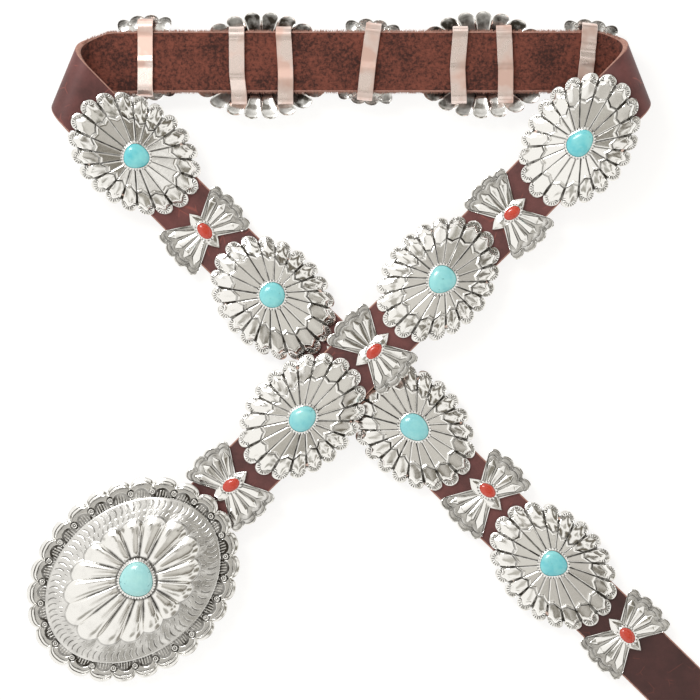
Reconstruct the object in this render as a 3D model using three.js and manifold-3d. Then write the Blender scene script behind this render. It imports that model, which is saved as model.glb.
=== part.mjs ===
// A concho belt laid folded on a flat surface, in millimetres, Z up.
// One leather strap is folded over at two corners and crosses itself. Silver conchos and
// butterfly spacers, each with a stone in a bezel, are threaded on it by copper loops soldered
// to their backs, and an oval buckle ends the upper strand. The free end runs on past the
// last butterfly. The back stretch lies flesh side up, with its conchos face down.

import * as THREE from 'three';
import { mergeVertices } from 'three/addons/utils/BufferGeometryUtils.js';
import Module from 'manifold-3d';

const wasm = await Module();
wasm.setup();

// Strap
const STRAP_WIDTH = 25.4;
const LEATHER = 2.5;
// Clearance between pieces that rest on each other
const GAP = 0.3;

// Copper loops under each piece, which the strap passes through
const LOOP = { thick: 1.0, wide: 6.5, span: 33.0 };
const STRIP_TOP = -(GAP + LEATHER + GAP);

// Bezel walls round every stone
const BEZEL_WALL = 0.8;
const BEZEL_FOOT = 0.2;

// Concho: a domed oval plate with a ring of puffed petals round a fluted fan.
// Heights are above the plane of the rim, and depths are measured in from the rim.
const CONCHO = {
  width: 45.4,
  petals: 20,
  rimHeight: 1.0,
  notchDepth: 2.3,
  shoulder: 0.27,
  petalDepth: 10.6,
  petalBackDepth: 8.2,
  stepHeight: 3.6,
  stepValley: 3.1,
  crestDepth: 5.2,
  crestHeight: 3.3,
  valleyHeight: 2.0,
  hubHeight: 5.0,
  seat: 5.3,
  bezelHeight: 6.8,
  stoneHeight: 8.5,
  underDepth: 11.0,
  underHeight: 2.4,
  underCentre: 3.9,
  loopOffset: 10.0,
  legTop: 1.8,
};

// Butterfly spacer: two fan wings across the strap and two leaf tips along it
const BUTTERFLY = {
  rimHeight: 0.9,
  hubHeight: 2.1,
  seat: 1.6,
  bezelHeight: 3.5,
  stoneHeight: 4.9,
  legTop: 0.5,
};
// One quarter of the butterfly's outline, from the leaf tip to the middle of the wing's edge
const WING_OUTLINE = [
  { x: 9.7, y: 0.0 },
  { x: 5.4, y: 3.0 },
  { x: 10.9, y: 12.4 },
  { x: 11.6, y: 15.0 },
  { x: 9.2, y: 16.9 },
  { x: 6.2, y: 16.1 },
  { x: 4.6, y: 17.9 },
  { x: 1.9, y: 18.1 },
  { x: 0.0, y: 17.1 },
];
// The same quarter where the pointed petals and the leaf end, and across their crests
const PETAL_ENDS = [
  { x: 8.4, y: 0.0, z: 1.5 },
  { x: 5.1, y: 2.8, z: 1.0 },
  { x: 8.2, y: 10.2, z: 1.0 },
  { x: 7.7, y: 12.4, z: 1.6 },
  { x: 4.9, y: 11.9, z: 1.0 },
  { x: 2.6, y: 14.1, z: 1.6 },
  { x: 0.0, y: 12.4, z: 1.0 },
];
const PETAL_CRESTS = [
  { x: 6.8, y: 0.0, z: 2.3 },
  { x: 4.9, y: 2.6, z: 1.3 },
  { x: 6.0, y: 7.2, z: 1.3 },
  { x: 5.0, y: 8.6, z: 2.5 },
  { x: 3.3, y: 8.6, z: 1.6 },
  { x: 1.8, y: 9.4, z: 2.5 },
  { x: 0.0, y: 9.0, z: 1.6 },
];

// Buckle: a scalloped oval plate, a raised dome inside it and sixteen rounded lobes on the dome
const BUCKLE = {
  length: 96.1,
  width: 80.8,
  scallops: 26,
  lobes: 16,
  rimHeight: 1.2,
  notchDepth: 3.2,
  shoulder: 0.26,
  domeLength: 79.2,
  domeWidth: 60.8,
  domeFoot: 1.4,
  domeEdge: 2.7,
  edgeSlope: 0.8,
  lobeLength: 63.2,
  lobeWidth: 44.4,
  lobeTip: 4.6,
  lobeValley: 4.1,
  lobeValleyDepth: 1.8,
  hubCrest: 7.2,
  hubValley: 6.3,
  seat: 7.4,
  bezelHeight: 9.4,
  stoneHeight: 11.6,
  underEdge: 0.5,
  underLobe: 3.2,
  underCentre: 5.8,
};
const BUCKLE_PLACE = { x: -91.4, y: -96.9, z: 5.03, turn: 38.7, tilt: 5.1 };
const BUCKLE_STONE = { long: 15.2, short: 14.4, turn: 40, egg: 0.04, x: 2.6, y: -0.7 };
// Its hidden fittings: a loop that holds the strap's end and a hook for the free end
const BUCKLE_LOOP = { x: 22.0, y: 1.5, turn: 6.0, wide: 8.0, span: 33.0, top: -5.5, legTop: 3.0 };
const BUCKLE_HOOK = { x: -18.0, reach: 13.0, wide: 8.0, thick: 1.2, low: 0.8, legTop: 5.0 };

// The strap's middle line, at half its thickness, from the buckle to the free end. The strap
// turns over at each fold, round a crease that a point and a heading towards the viewer give.
const BUCKLE_RUN = [
  { x: -80.9, y: -87.5, z: 3.0 },
  { x: -70.8, y: -77.8, z: 3.3 },
  { x: -56.5, y: -63.8, z: 5.0 },
  { x: -42.2, y: -49.9, z: 7.5 },
  { x: 1.8, y: -6.2, z: 10.75 },
  { x: 16.0, y: 7.8, z: 10.75 },
  { x: 60.1, y: 51.5, z: 7.3 },
  { x: 74.3, y: 65.5, z: 8.9 },
];
const BACK_RUN = [
  { x: 87.3, y: 121.6, z: 10.05 },
  { x: -68.2, y: 121.6, z: 10.05 },
  { x: -97.8, y: 121.6, z: 7.45 },
];
const FREE_RUN = [
  { x: -69.9, y: 60.4, z: 4.8 },
  { x: -53.9, y: 44.8, z: 2.55 },
  { x: 47.0, y: -54.4, z: 2.55 },
  { x: 107.7, y: -112.5, z: 2.55 },
  { x: 151.0, y: -155.0, z: 2.55 },
];
const FOLD_RADIUS = 7.0;
const FOLD_STEPS = 8;
// start, middle and end are places along the crease where the middle line enters, turns and leaves.
// rollStart and rollEnd are angles round the fold, from its lowest line, and liftStart and liftEnd
// are how much higher the strap's outer edge lies there, level with the sloping run that it meets.
const RIGHT_FOLD = {
  x: 116.8, y: 129.8, heading: -68.5, inward: -1, low: 7.75,
  start: 19.9, middle: 13.7, end: 5.2,
  rollStart: 192.2, rollEnd: -5.6, liftStart: 1.17, liftEnd: 0.49,
};
const LEFT_FOLD = {
  x: -115.1, y: 129.1, heading: -112.8, inward: 1, low: 5.0,
  start: 4.1, middle: 14.2, end: 21.4,
  rollStart: -13.0, rollEnd: 192.5, liftStart: 1.23, liftEnd: 1.17,
};
// Length of the skewed section that a fold's ruling makes across the strap
const FOLD_HALF_WIDTH = 13.7;

// The conchos: place and turn seen from above, length, and the stone's size, turn and offset
const CONCHOS = [
  { name: 'free_1', run: 'free', x: -90.9, y: 82.9, turn: -38.5, skew: -4, length: 61.8,
    stone: { long: 11.3, short: 10.6, turn: 20, egg: 0.05, x: 0.3, y: -0.4 } },
  { name: 'free_2', run: 'free', x: -32.6, y: 22.1, turn: -44.3, skew: 0, length: 59.8,
    stone: { long: 11.2, short: 11.0, turn: 0, egg: 0.01, x: -0.9, y: 0.6 } },
  { name: 'free_3', run: 'free', x: 26.3, y: -32.5, turn: -45.8, skew: 0, length: 61.2,
    stone: { long: 13.2, short: 10.9, turn: 8, egg: 0.03, x: 0.6, y: 0.5 } },
  { name: 'free_4', run: 'free', x: 86.0, y: -91.4, turn: -45.0, skew: 0, length: 61.8,
    stone: { long: 11.9, short: 10.9, turn: 25, egg: 0.06, x: -1.0, y: 0.6 } },
  { name: 'buckle_1', run: 'buckle', x: 96.6, y: 88.3, turn: 55.0, skew: -8, length: 61.8,
    stone: { long: 12.9, short: 10.2, turn: -8, egg: 0.04, x: -0.2, y: -0.9 } },
  { name: 'buckle_2', run: 'buckle', x: 37.1, y: 29.8, turn: 47.0, skew: 0, length: 59.4,
    stone: { long: 12.4, short: 11.4, turn: 0, egg: -0.05, x: 0.5, y: -1.3 } },
  { name: 'buckle_3', run: 'buckle', x: -20.1, y: -27.9, turn: 44.5, skew: 0, length: 61.0,
    stone: { long: 12.4, short: 10.4, turn: -6, egg: 0.02, x: -0.2, y: -0.8 } },
  { name: 'back_1', run: 'back', x: 56.3, y: 121.0, turn: -4.0, skew: 0, length: 61.4,
    stone: { long: 11.8, short: 10.8, turn: 10, egg: 0.03, x: 0, y: 0 } },
  { name: 'back_2', run: 'back', x: -37.5, y: 120.8, turn: 0.0, skew: 0, length: 61.4,
    stone: { long: 12.2, short: 11.0, turn: -12, egg: 0.03, x: 0, y: 0 } },
];

const BUTTERFLIES = [
  { name: 'free_1', run: 'free', x: -61.8, y: 50.7, turn: -48.7, skew: 0 },
  { name: 'free_2', run: 'free', x: -3.0, y: -4.9, turn: -44.5, skew: 0 },
  { name: 'free_3', run: 'free', x: 57.4, y: -61.0, turn: -45.0, skew: 0 },
  { name: 'free_4', run: 'free', x: 116.4, y: -120.4, turn: -44.8, skew: 0 },
  { name: 'buckle_1', run: 'buckle', x: 67.1, y: 57.5, turn: 43.9, skew: 0 },
  { name: 'buckle_2', run: 'buckle', x: 9.4, y: 0.3, turn: 45.0, skew: 0 },
  { name: 'buckle_3', run: 'buckle', x: -50.5, y: -57.4, turn: 41.4, skew: 0 },
  { name: 'back_1', run: 'back', x: 100.5, y: 121.5, turn: -6.3, skew: 0 },
  { name: 'back_2', run: 'back', x: 8.0, y: 121.6, turn: -6.1, skew: 0 },
  { name: 'back_3', run: 'back', x: -86.2, y: 123.4, turn: 3.3, skew: 3.3 },
];
const CORAL = { long: 8.2, short: 5.6, turn: 0, egg: 0, x: 0, y: 0 };
const TURQUOISE_SIDES = 10;
const CORAL_SIDES = 8;
// Where a cabochon's side turns into its top, as a share of its radius and of its rise
const CABOCHON_TURN = 0.7;

const MATERIALS = {
  silver: { color: 0xd8d6d0, roughness: 0.25, metalness: 1.0 },
  leather: { color: 0x5a3331, roughness: 0.6, metalness: 0.0 },
  turquoise: { color: 0x74d3d6, roughness: 0.25, metalness: 0.0 },
  coral: { color: 0xd9432b, roughness: 0.25, metalness: 0.0 },
};

const radians = (degrees) => THREE.MathUtils.degToRad(degrees);
const at = (point, z) => new THREE.Vector3(point.x, point.y, z);

// A closed geometry from points and triangles that index them
function geometryFrom(points, triangles) {
  const geometry = new THREE.BufferGeometry();
  geometry.setAttribute('position', new THREE.Float32BufferAttribute(points.flatMap((p) => p.toArray()), 3));
  geometry.setIndex(triangles.flat());
  return geometry;
}

// Polar angles of a ring's points, growing all the way round and closed by a last full turn
function ringAngles(ring) {
  const angles = [Math.atan2(ring[0].y, ring[0].x)];
  for (let k = 1; k < ring.length; k += 1) {
    let angle = Math.atan2(ring[k].y, ring[k].x);
    while (angle < angles[k - 1]) angle += 2 * Math.PI;
    angles.push(angle);
  }
  angles.push(angles[0] + 2 * Math.PI);
  return angles;
}

// Triangles between two rings, walking round both by angle. A ring of one point makes a fan.
function stitch(inner, outer, innerStart, outerStart) {
  const triangles = [];
  const a = (k) => innerStart + (k % inner.length);
  const b = (k) => outerStart + (k % outer.length);
  const innerSteps = inner.length > 1 ? inner.length : 0;
  const outerSteps = outer.length > 1 ? outer.length : 0;
  const innerAngles = ringAngles(inner);
  const outerAngles = ringAngles(outer);
  let i = 0;
  let j = 0;
  while (i < innerSteps || j < outerSteps) {
    if (j === outerSteps || (i < innerSteps && innerAngles[i + 1] <= outerAngles[j + 1])) {
      triangles.push([a(i), b(j), a(i + 1)]);
      i += 1;
    } else {
      triangles.push([a(i), b(j), b(j + 1)]);
      j += 1;
    }
  }
  return triangles;
}

// A closed skin through rings listed counter-clockwise seen from above, from the top's centre
// out over the rim and back underneath to the bottom's centre
function skin(rings) {
  const points = rings.flat();
  const triangles = [];
  let start = 0;
  for (let k = 0; k + 1 < rings.length; k += 1) {
    const next = start + rings[k].length;
    triangles.push(...stitch(rings[k], rings[k + 1], start, next));
    start = next;
  }
  return geometryFrom(points, triangles);
}

function toSolid(geometry) {
  const bare = geometry.clone();
  bare.deleteAttribute('normal');
  bare.deleteAttribute('uv');
  const merged = mergeVertices(bare);
  const mesh = new wasm.Mesh({
    numProp: 3,
    vertProperties: new Float32Array(merged.attributes.position.array),
    triVerts: new Uint32Array(merged.index.array),
  });
  return new wasm.Manifold(mesh);
}

// One body from geometries that run into each other, as soldered metal does
function soldered(geometries) {
  const mesh = geometries.map(toSolid).reduce((whole, piece) => whole.add(piece)).getMesh();
  const geometry = new THREE.BufferGeometry();
  geometry.setAttribute('position', new THREE.BufferAttribute(new Float32Array(mesh.vertProperties), 3));
  geometry.setIndex(new THREE.BufferAttribute(new Uint32Array(mesh.triVerts), 1));
  return geometry;
}

function block(size, centre) {
  return new THREE.BoxGeometry(...size).translate(...centre);
}

// The outline of a stone, grown by a margin, at an angle from its own centre
function stoneEdge(stone, angle, margin) {
  const across = angle - radians(stone.turn);
  const oval = 1 / Math.hypot(Math.cos(across) / (stone.long / 2), Math.sin(across) / (stone.short / 2));
  const radius = oval * (1 + stone.egg * Math.cos(3 * across)) + margin;
  return new THREE.Vector2(stone.x + radius * Math.cos(angle), stone.y + radius * Math.sin(angle));
}

function stoneRing(stone, sides, margin, z) {
  return Array.from({ length: sides }, (_, k) => at(stoneEdge(stone, (2 * Math.PI * k) / sides, margin), z));
}

// The rings of a bezel, from the middle of the seat up its inner wall and over its top
function bezelRings(stone, sides, seat, height) {
  return [
    [new THREE.Vector3(stone.x, stone.y, seat)],
    stoneRing(stone, sides, GAP, seat),
    stoneRing(stone, sides, GAP, height),
    stoneRing(stone, sides, GAP + BEZEL_WALL, height),
  ];
}

// A cabochon that stands on the bezel's seat and rises out of it as a low dome
function cabochon(stone, sides, seat, bezelHeight, height) {
  const foot = seat + GAP;
  const shoulder = stoneRing(stone, sides, 0, 0).map((p) => new THREE.Vector3(
    stone.x + (p.x - stone.x) * CABOCHON_TURN,
    stone.y + (p.y - stone.y) * CABOCHON_TURN,
    bezelHeight + (height - bezelHeight) * CABOCHON_TURN,
  ));
  return skin([
    [new THREE.Vector3(stone.x, stone.y, height)],
    shoulder,
    stoneRing(stone, sides, 0, bezelHeight),
    stoneRing(stone, sides, 0, foot),
    [new THREE.Vector3(stone.x, stone.y, foot)],
  ]);
}

// Copper loops across the back of a piece, each a strip under the strap and a leg at each edge.
// skew turns them back where a piece lies askew, so that the strap still passes straight through.
function strapLoops(places, legTop, skew) {
  const low = STRIP_TOP - LOOP.thick;
  const legY = (LOOP.span - LOOP.thick) / 2;
  const legHeight = legTop - low;
  return places.flatMap((x) => [
    block([LOOP.wide, LOOP.span, LOOP.thick], [x, 0, STRIP_TOP - LOOP.thick / 2]),
    block([LOOP.wide, LOOP.thick, legHeight], [x, legY, low + legHeight / 2]),
    block([LOOP.wide, LOOP.thick, legHeight], [x, -legY, low + legHeight / 2]),
  ]).map((piece) => piece.rotateZ(radians(skew)));
}

// An oval divided evenly along its edge, with a spoke from each place to the bezel's foot
function spokes(halfLong, halfShort, divisions, stone) {
  const oval = new THREE.EllipseCurve(0, 0, halfLong, halfShort);
  return (place, depth, z) => {
    const share = (place / divisions) % 1;
    const rim = oval.getPointAt(share);
    const hub = stoneEdge(stone, 2 * Math.PI * share, GAP + BEZEL_WALL + BEZEL_FOOT);
    const inward = hub.clone().sub(rim).normalize();
    return at(rim.add(inward.multiplyScalar(depth)), z);
  };
}

function hubRing(stone, sides, height) {
  return Array.from({ length: sides }, (_, k) => at(
    stoneEdge(stone, (2 * Math.PI * k) / sides, GAP + BEZEL_WALL + BEZEL_FOOT),
    height(k),
  ));
}

// Rounded scallops, each a notch and two shoulders
function scallopRing(spoke, count, depth, shoulder, z) {
  return Array.from({ length: count }, (_, k) => [
    spoke(k, depth, z),
    spoke(k + shoulder, 0, z),
    spoke(k + 1 - shoulder, 0, z),
  ]).flat();
}

// A ring that alternates between the valleys at each division and the crests between them
function waveRing(spoke, count, valley, crest) {
  return Array.from({ length: count }, (_, k) => [
    spoke(k, valley.depth, valley.z),
    spoke(k + 0.5, crest.depth, crest.z),
  ]).flat();
}

function conchoPlate(length, stone, skew) {
  const c = CONCHO;
  const spoke = spokes(length / 2, c.width / 2, c.petals, stone);
  const stepValley = { depth: c.petalBackDepth, z: c.stepValley };
  const stepCrest = { depth: c.petalDepth, z: c.stepHeight };
  const petalValley = { depth: c.crestDepth, z: c.valleyHeight };
  const petalCrest = { depth: c.crestDepth, z: c.crestHeight };
  return soldered([
    skin([
      ...bezelRings(stone, TURQUOISE_SIDES, c.seat, c.bezelHeight),
      hubRing(stone, c.petals, () => c.hubHeight),
      waveRing(spoke, c.petals, stepValley, stepCrest),
      waveRing(spoke, c.petals, petalValley, petalCrest),
      scallopRing(spoke, c.petals, c.notchDepth, c.shoulder, c.rimHeight),
      scallopRing(spoke, c.petals, c.notchDepth, c.shoulder, 0),
      Array.from({ length: c.petals / 2 }, (_, k) => spoke(2 * k, c.underDepth, c.underHeight)),
      [new THREE.Vector3(0, 0, c.underCentre)],
    ]),
    ...strapLoops([-c.loopOffset, c.loopOffset], c.legTop, skew),
  ]);
}

// A whole ring from one quarter of it, mirrored across both axes
function fourQuarters(quarter, z) {
  const inner = quarter.slice(1, -1);
  const point = (p, sx, sy) => new THREE.Vector3(p.x * sx, p.y * sy, z ?? p.z);
  const first = quarter[0];
  const last = quarter[quarter.length - 1];
  return [
    point(first, 1, 1),
    ...inner.map((p) => point(p, 1, 1)),
    point(last, 1, 1),
    ...inner.map((p) => point(p, -1, 1)).reverse(),
    point(first, -1, 1),
    ...inner.map((p) => point(p, -1, -1)),
    point(last, 1, -1),
    ...inner.map((p) => point(p, 1, -1)).reverse(),
  ];
}

function butterflyPlate(skew) {
  const b = BUTTERFLY;
  return soldered([
    skin([
      ...bezelRings(CORAL, CORAL_SIDES, b.seat, b.bezelHeight),
      hubRing(CORAL, CORAL_SIDES, () => b.hubHeight),
      fourQuarters(PETAL_CRESTS),
      fourQuarters(PETAL_ENDS),
      fourQuarters(WING_OUTLINE, b.rimHeight),
      fourQuarters(WING_OUTLINE, 0),
      [new THREE.Vector3(0, 0, 0)],
    ]),
    ...strapLoops([0], b.legTop, skew),
  ]);
}

// The buckle's hidden loop for the strap's end
function buckleLoop() {
  const l = BUCKLE_LOOP;
  const low = l.top - LOOP.thick;
  const legY = (l.span - LOOP.thick) / 2;
  const legHeight = l.legTop - low;
  return [
    block([l.wide, l.span, LOOP.thick], [0, 0, l.top - LOOP.thick / 2]),
    block([l.wide, LOOP.thick, legHeight], [0, legY, low + legHeight / 2]),
    block([l.wide, LOOP.thick, legHeight], [0, -legY, low + legHeight / 2]),
  ].map((piece) => piece.rotateZ(radians(l.turn)).translate(l.x, l.y, 0));
}

// The hook: a leg down from the dome's underside and a tongue that points away from the strap
function buckleHook() {
  const h = BUCKLE_HOOK;
  const legHeight = h.legTop - h.low;
  return [
    block([h.thick, h.wide, legHeight], [h.x, 0, h.low + legHeight / 2]),
    block([h.reach, h.wide, h.thick], [h.x + h.thick / 2 - h.reach / 2, 0, h.low + h.thick / 2]),
  ];
}

function bucklePlate() {
  const b = BUCKLE;
  const stone = BUCKLE_STONE;
  const rim = spokes(b.length / 2, b.width / 2, b.scallops, stone);
  const lobes = spokes(b.lobeLength / 2, b.lobeWidth / 2, b.lobes, stone);
  const dome = spokes(b.domeLength / 2, b.domeWidth / 2, 2 * b.lobes, stone);
  const domeRing = (depth, z) => Array.from({ length: 2 * b.lobes }, (_, k) => dome(k, depth, z));
  return soldered([
    skin([
      ...bezelRings(stone, TURQUOISE_SIDES, b.seat, b.bezelHeight),
      hubRing(stone, 2 * b.lobes, (k) => (k % 2 ? b.hubCrest : b.hubValley)),
      waveRing(lobes, b.lobes, { depth: b.lobeValleyDepth, z: b.lobeValley }, { depth: 0, z: b.lobeTip }),
      domeRing(b.edgeSlope, b.domeEdge),
      domeRing(0, b.domeFoot),
      scallopRing(rim, b.scallops, b.notchDepth, b.shoulder, b.rimHeight),
      scallopRing(rim, b.scallops, b.notchDepth, b.shoulder, 0),
      Array.from({ length: b.lobes }, (_, k) => dome(2 * k, 2 * b.edgeSlope, b.underEdge)),
      Array.from({ length: b.lobes }, (_, k) => lobes(k, b.lobeValleyDepth, b.underLobe)),
      [new THREE.Vector3(0, 0, b.underCentre)],
    ]),
    ...buckleLoop(),
    ...buckleHook(),
  ]);
}

// Sections of a fold: the middle line rolls half a turn round the crease while it drifts along it
function foldSections(fold) {
  const south = new THREE.Vector3(Math.cos(radians(fold.heading)), Math.sin(radians(fold.heading)), 0);
  const inward = new THREE.Vector3(-south.y, south.x, 0).multiplyScalar(fold.inward);
  const centre = FOLD_RADIUS + LEATHER / 2;
  const bulge = fold.middle - (fold.start + fold.end) / 2;
  return Array.from({ length: FOLD_STEPS + 1 }, (_, k) => {
    const share = k / FOLD_STEPS;
    const roll = radians(THREE.MathUtils.lerp(fold.rollStart, fold.rollEnd, share));
    const drift = THREE.MathUtils.lerp(fold.start, fold.end, share) + bulge * (1 - (2 * share - 1) ** 2);
    const point = new THREE.Vector3(fold.x, fold.y, fold.low + FOLD_RADIUS * (1 - Math.cos(roll)));
    point.addScaledVector(inward, centre - FOLD_RADIUS * Math.sin(roll));
    point.addScaledVector(south, drift);
    const half = south.clone().multiplyScalar(-FOLD_HALF_WIDTH);
    half.z = THREE.MathUtils.lerp(fold.liftStart, fold.liftEnd, share);
    const normal = inward.clone().multiplyScalar(-Math.sin(roll));
    normal.z = -Math.cos(roll);
    return { point, half, normal };
  });
}

// The way across the strap, towards its outer edge, and the way that its grain faces
function strapFrame(along, grainUp) {
  const across = new THREE.Vector3(-along.y, along.x, 0).normalize().multiplyScalar(grainUp);
  const normal = along.clone().normalize().cross(across).normalize();
  return { across, normal };
}

// Square sections of a straight run between the points that come before and after it
function runSections(stations, before, after, grainUp) {
  const points = stations.map((s) => new THREE.Vector3(s.x, s.y, s.z));
  const line = [before ?? points[0], ...points, after ?? points[points.length - 1]];
  return points.map((point, k) => {
    const { across, normal } = strapFrame(line[k + 2].clone().sub(line[k]), grainUp);
    return { point, half: across.multiplyScalar(STRAP_WIDTH / 2), normal };
  });
}

const rightFold = foldSections(RIGHT_FOLD);
const leftFold = foldSections(LEFT_FOLD);
const [onRight, offRight] = [rightFold[0].point, rightFold[FOLD_STEPS].point];
const [onLeft, offLeft] = [leftFold[0].point, leftFold[FOLD_STEPS].point];
const buckleRun = runSections(BUCKLE_RUN, null, onRight, 1);
const backRun = runSections(BACK_RUN, offRight, onLeft, -1);
const freeRun = runSections(FREE_RUN, offLeft, null, 1);
const RUNS = {
  buckle: { grainUp: 1, line: [...buckleRun.map((s) => s.point), onRight] },
  back: { grainUp: -1, line: [offRight, ...backRun.map((s) => s.point), onLeft] },
  free: { grainUp: 1, line: [offLeft, ...freeRun.map((s) => s.point)] },
};

// The strap as one solid through all its sections
function strap() {
  const sections = [...buckleRun, ...rightFold, ...backRun, ...leftFold, ...freeRun];
  const points = sections.flatMap(({ point, half, normal }) => {
    const up = normal.clone().multiplyScalar(LEATHER / 2);
    const outer = point.clone().add(half);
    const inner = point.clone().sub(half);
    return [
      inner.clone().add(up),
      outer.clone().add(up),
      outer.clone().sub(up),
      inner.clone().sub(up),
    ];
  });
  const corners = 4;
  const triangles = [[0, 1, 2], [0, 2, 3]];
  for (let k = 0; k + 1 < sections.length; k += 1) {
    for (let c = 0; c < corners; c += 1) {
      const a = k * corners + c;
      const b = k * corners + ((c + 1) % corners);
      triangles.push([a, a + corners, b], [b, a + corners, b + corners]);
    }
  }
  const last = (sections.length - 1) * corners;
  triangles.push([last, last + 2, last + 1], [last, last + 3, last + 2]);
  return geometryFrom(points, triangles);
}

// The frame of a piece that rests on a run: its rim plane lies a gap above the grain
function seatOn(run, piece) {
  const { line, grainUp } = RUNS[run];
  const spot = new THREE.Vector2(piece.x, piece.y);
  const start = line.findIndex((p, k) => {
    if (k + 1 === line.length) return false;
    const ahead = new THREE.Vector2(line[k + 1].x - p.x, line[k + 1].y - p.y);
    const share = spot.clone().sub(p).dot(ahead) / ahead.lengthSq();
    return share >= 0 && share <= 1;
  });
  const { normal } = strapFrame(line[start + 1].clone().sub(line[start]), grainUp);
  const from = line[start];
  const height = from.z - ((piece.x - from.x) * normal.x + (piece.y - from.y) * normal.y) / normal.z;
  const origin = new THREE.Vector3(piece.x, piece.y, height).addScaledVector(normal, LEATHER / 2 + GAP);
  const along = new THREE.Vector3(Math.cos(radians(piece.turn)), Math.sin(radians(piece.turn)), 0);
  along.addScaledVector(normal, -along.dot(normal)).normalize();
  return { origin, basis: new THREE.Matrix4().makeBasis(along, normal.clone().cross(along), normal) };
}

function buckleSeat() {
  const p = BUCKLE_PLACE;
  const turn = new THREE.Matrix4().makeRotationZ(radians(p.turn));
  const tilt = new THREE.Matrix4().makeRotationY(-radians(p.tilt));
  return { origin: new THREE.Vector3(p.x, p.y, p.z), basis: turn.multiply(tilt) };
}

function node(name, geometry, material) {
  const mesh = new THREE.Mesh(geometry, new THREE.MeshStandardMaterial(MATERIALS[material]));
  mesh.name = name;
  return mesh;
}

// A piece of metal and its stone, set together on the strap
function mounted(seat, ...meshes) {
  const group = new THREE.Group();
  group.position.copy(seat.origin);
  group.quaternion.setFromRotationMatrix(seat.basis);
  group.add(...meshes);
  return group;
}

function concho(row) {
  const c = CONCHO;
  const stone = cabochon(row.stone, TURQUOISE_SIDES, c.seat, c.bezelHeight, c.stoneHeight);
  return mounted(
    seatOn(row.run, row),
    node(`concho_${row.name}`, conchoPlate(row.length, row.stone, row.skew), 'silver'),
    node(`turquoise_${row.name}`, stone, 'turquoise'),
  );
}

function butterfly(row) {
  const b = BUTTERFLY;
  const stone = cabochon(CORAL, CORAL_SIDES, b.seat, b.bezelHeight, b.stoneHeight);
  return mounted(
    seatOn(row.run, row),
    node(`butterfly_${row.name}`, butterflyPlate(row.skew), 'silver'),
    node(`coral_${row.name}`, stone, 'coral'),
  );
}

function buckle() {
  const b = BUCKLE;
  const stone = cabochon(BUCKLE_STONE, TURQUOISE_SIDES, b.seat, b.bezelHeight, b.stoneHeight);
  return mounted(
    buckleSeat(),
    node('buckle', bucklePlate(), 'silver'),
    node('turquoise_buckle', stone, 'turquoise'),
  );
}

const belt = new THREE.Group();
belt.add(
  node('strap', strap(), 'leather'),
  buckle(),
  ...CONCHOS.map(concho),
  ...BUTTERFLIES.map(butterfly),
);

// The origin is under the middle of the whole belt, on the surface that it lies on
belt.updateMatrixWorld(true);
const whole = new THREE.Box3().setFromObject(belt, true);
const middle = whole.getCenter(new THREE.Vector3());
belt.position.set(-middle.x, -middle.y, -whole.min.z);

export default belt;
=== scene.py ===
# A concho belt laid folded and crossed on a pale surface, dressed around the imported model.
# One leather strap carries stamped silver conchos and butterfly spacers on copper loops, with a
# turquoise or coral cabochon in each, and ends in an oval silver buckle.
# Lengths are in millimetres until a mesh or a light is made, which turns them into metres.

import math

import bpy
import numpy as np
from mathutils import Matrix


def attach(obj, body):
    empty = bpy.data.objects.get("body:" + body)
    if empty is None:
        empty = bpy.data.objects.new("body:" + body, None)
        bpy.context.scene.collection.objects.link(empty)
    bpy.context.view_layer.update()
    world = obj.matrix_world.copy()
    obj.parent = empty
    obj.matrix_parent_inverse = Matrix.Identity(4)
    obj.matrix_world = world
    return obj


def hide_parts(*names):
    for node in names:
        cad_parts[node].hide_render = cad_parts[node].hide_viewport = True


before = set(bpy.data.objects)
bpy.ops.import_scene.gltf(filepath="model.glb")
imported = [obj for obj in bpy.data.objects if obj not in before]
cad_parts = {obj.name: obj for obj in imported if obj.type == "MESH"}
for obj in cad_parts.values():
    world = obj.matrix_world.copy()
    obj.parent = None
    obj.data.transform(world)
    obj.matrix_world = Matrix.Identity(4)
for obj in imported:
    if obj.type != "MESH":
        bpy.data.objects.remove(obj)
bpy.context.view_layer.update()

MM = 0.001
BODY = "root"

# The photograph: where its middle lies in the frame, and how much it shows from edge to edge
PHOTO_MIDDLE = (-11.662, 10.161)
PHOTO_SPAN = 296.3
CAMERA_HEIGHT = 1500.0
SENSOR = 36.0
LENS_PLANE = 5.0

# Strap
STRAP_WIDTH = 25.4
LEATHER = 2.5
GAP = 0.3

# The strap's middle line, measured from the photograph's middle, as the model has it
BUCKLE_RUN = (
    (-80.9, -87.5, 3.0),
    (-70.8, -77.8, 3.3),
    (-56.5, -63.8, 5.0),
    (-42.2, -49.9, 7.5),
    (1.8, -6.2, 10.75),
    (16.0, 7.8, 10.75),
    (60.1, 51.5, 7.3),
    (74.3, 65.5, 8.9),
)
BACK_RUN = (
    (87.3, 121.6, 10.05),
    (-68.2, 121.6, 10.05),
    (-97.8, 121.6, 7.45),
)
FREE_RUN = (
    (-69.9, 60.4, 4.8),
    (-53.9, 44.8, 2.55),
    (47.0, -54.4, 2.55),
    (107.7, -112.5, 2.55),
    (151.0, -155.0, 2.55),
)

# Its two folds: corner, the way that the crossing strand leaves it and the side it opens to. start,
# middle and end are how far along the corner the strap lies as it rolls over.
FOLD_RADIUS = 7.0
FOLD_HALF_WIDTH = 13.7
FOLD_STEPS = 36
RIGHT_FOLD = dict(
    x=116.8, y=129.8, heading=-68.5, inward=-1, low=7.75,
    start=19.9, middle=13.7, end=5.2,
    roll_start=192.2, roll_end=-5.6, lift_start=1.17, lift_end=0.49,
)
LEFT_FOLD = dict(
    x=-115.1, y=129.1, heading=-112.8, inward=1, low=5.0,
    start=4.1, middle=14.2, end=21.4,
    roll_start=-13.0, roll_end=192.5, lift_start=1.23, lift_end=1.17,
)

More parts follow.
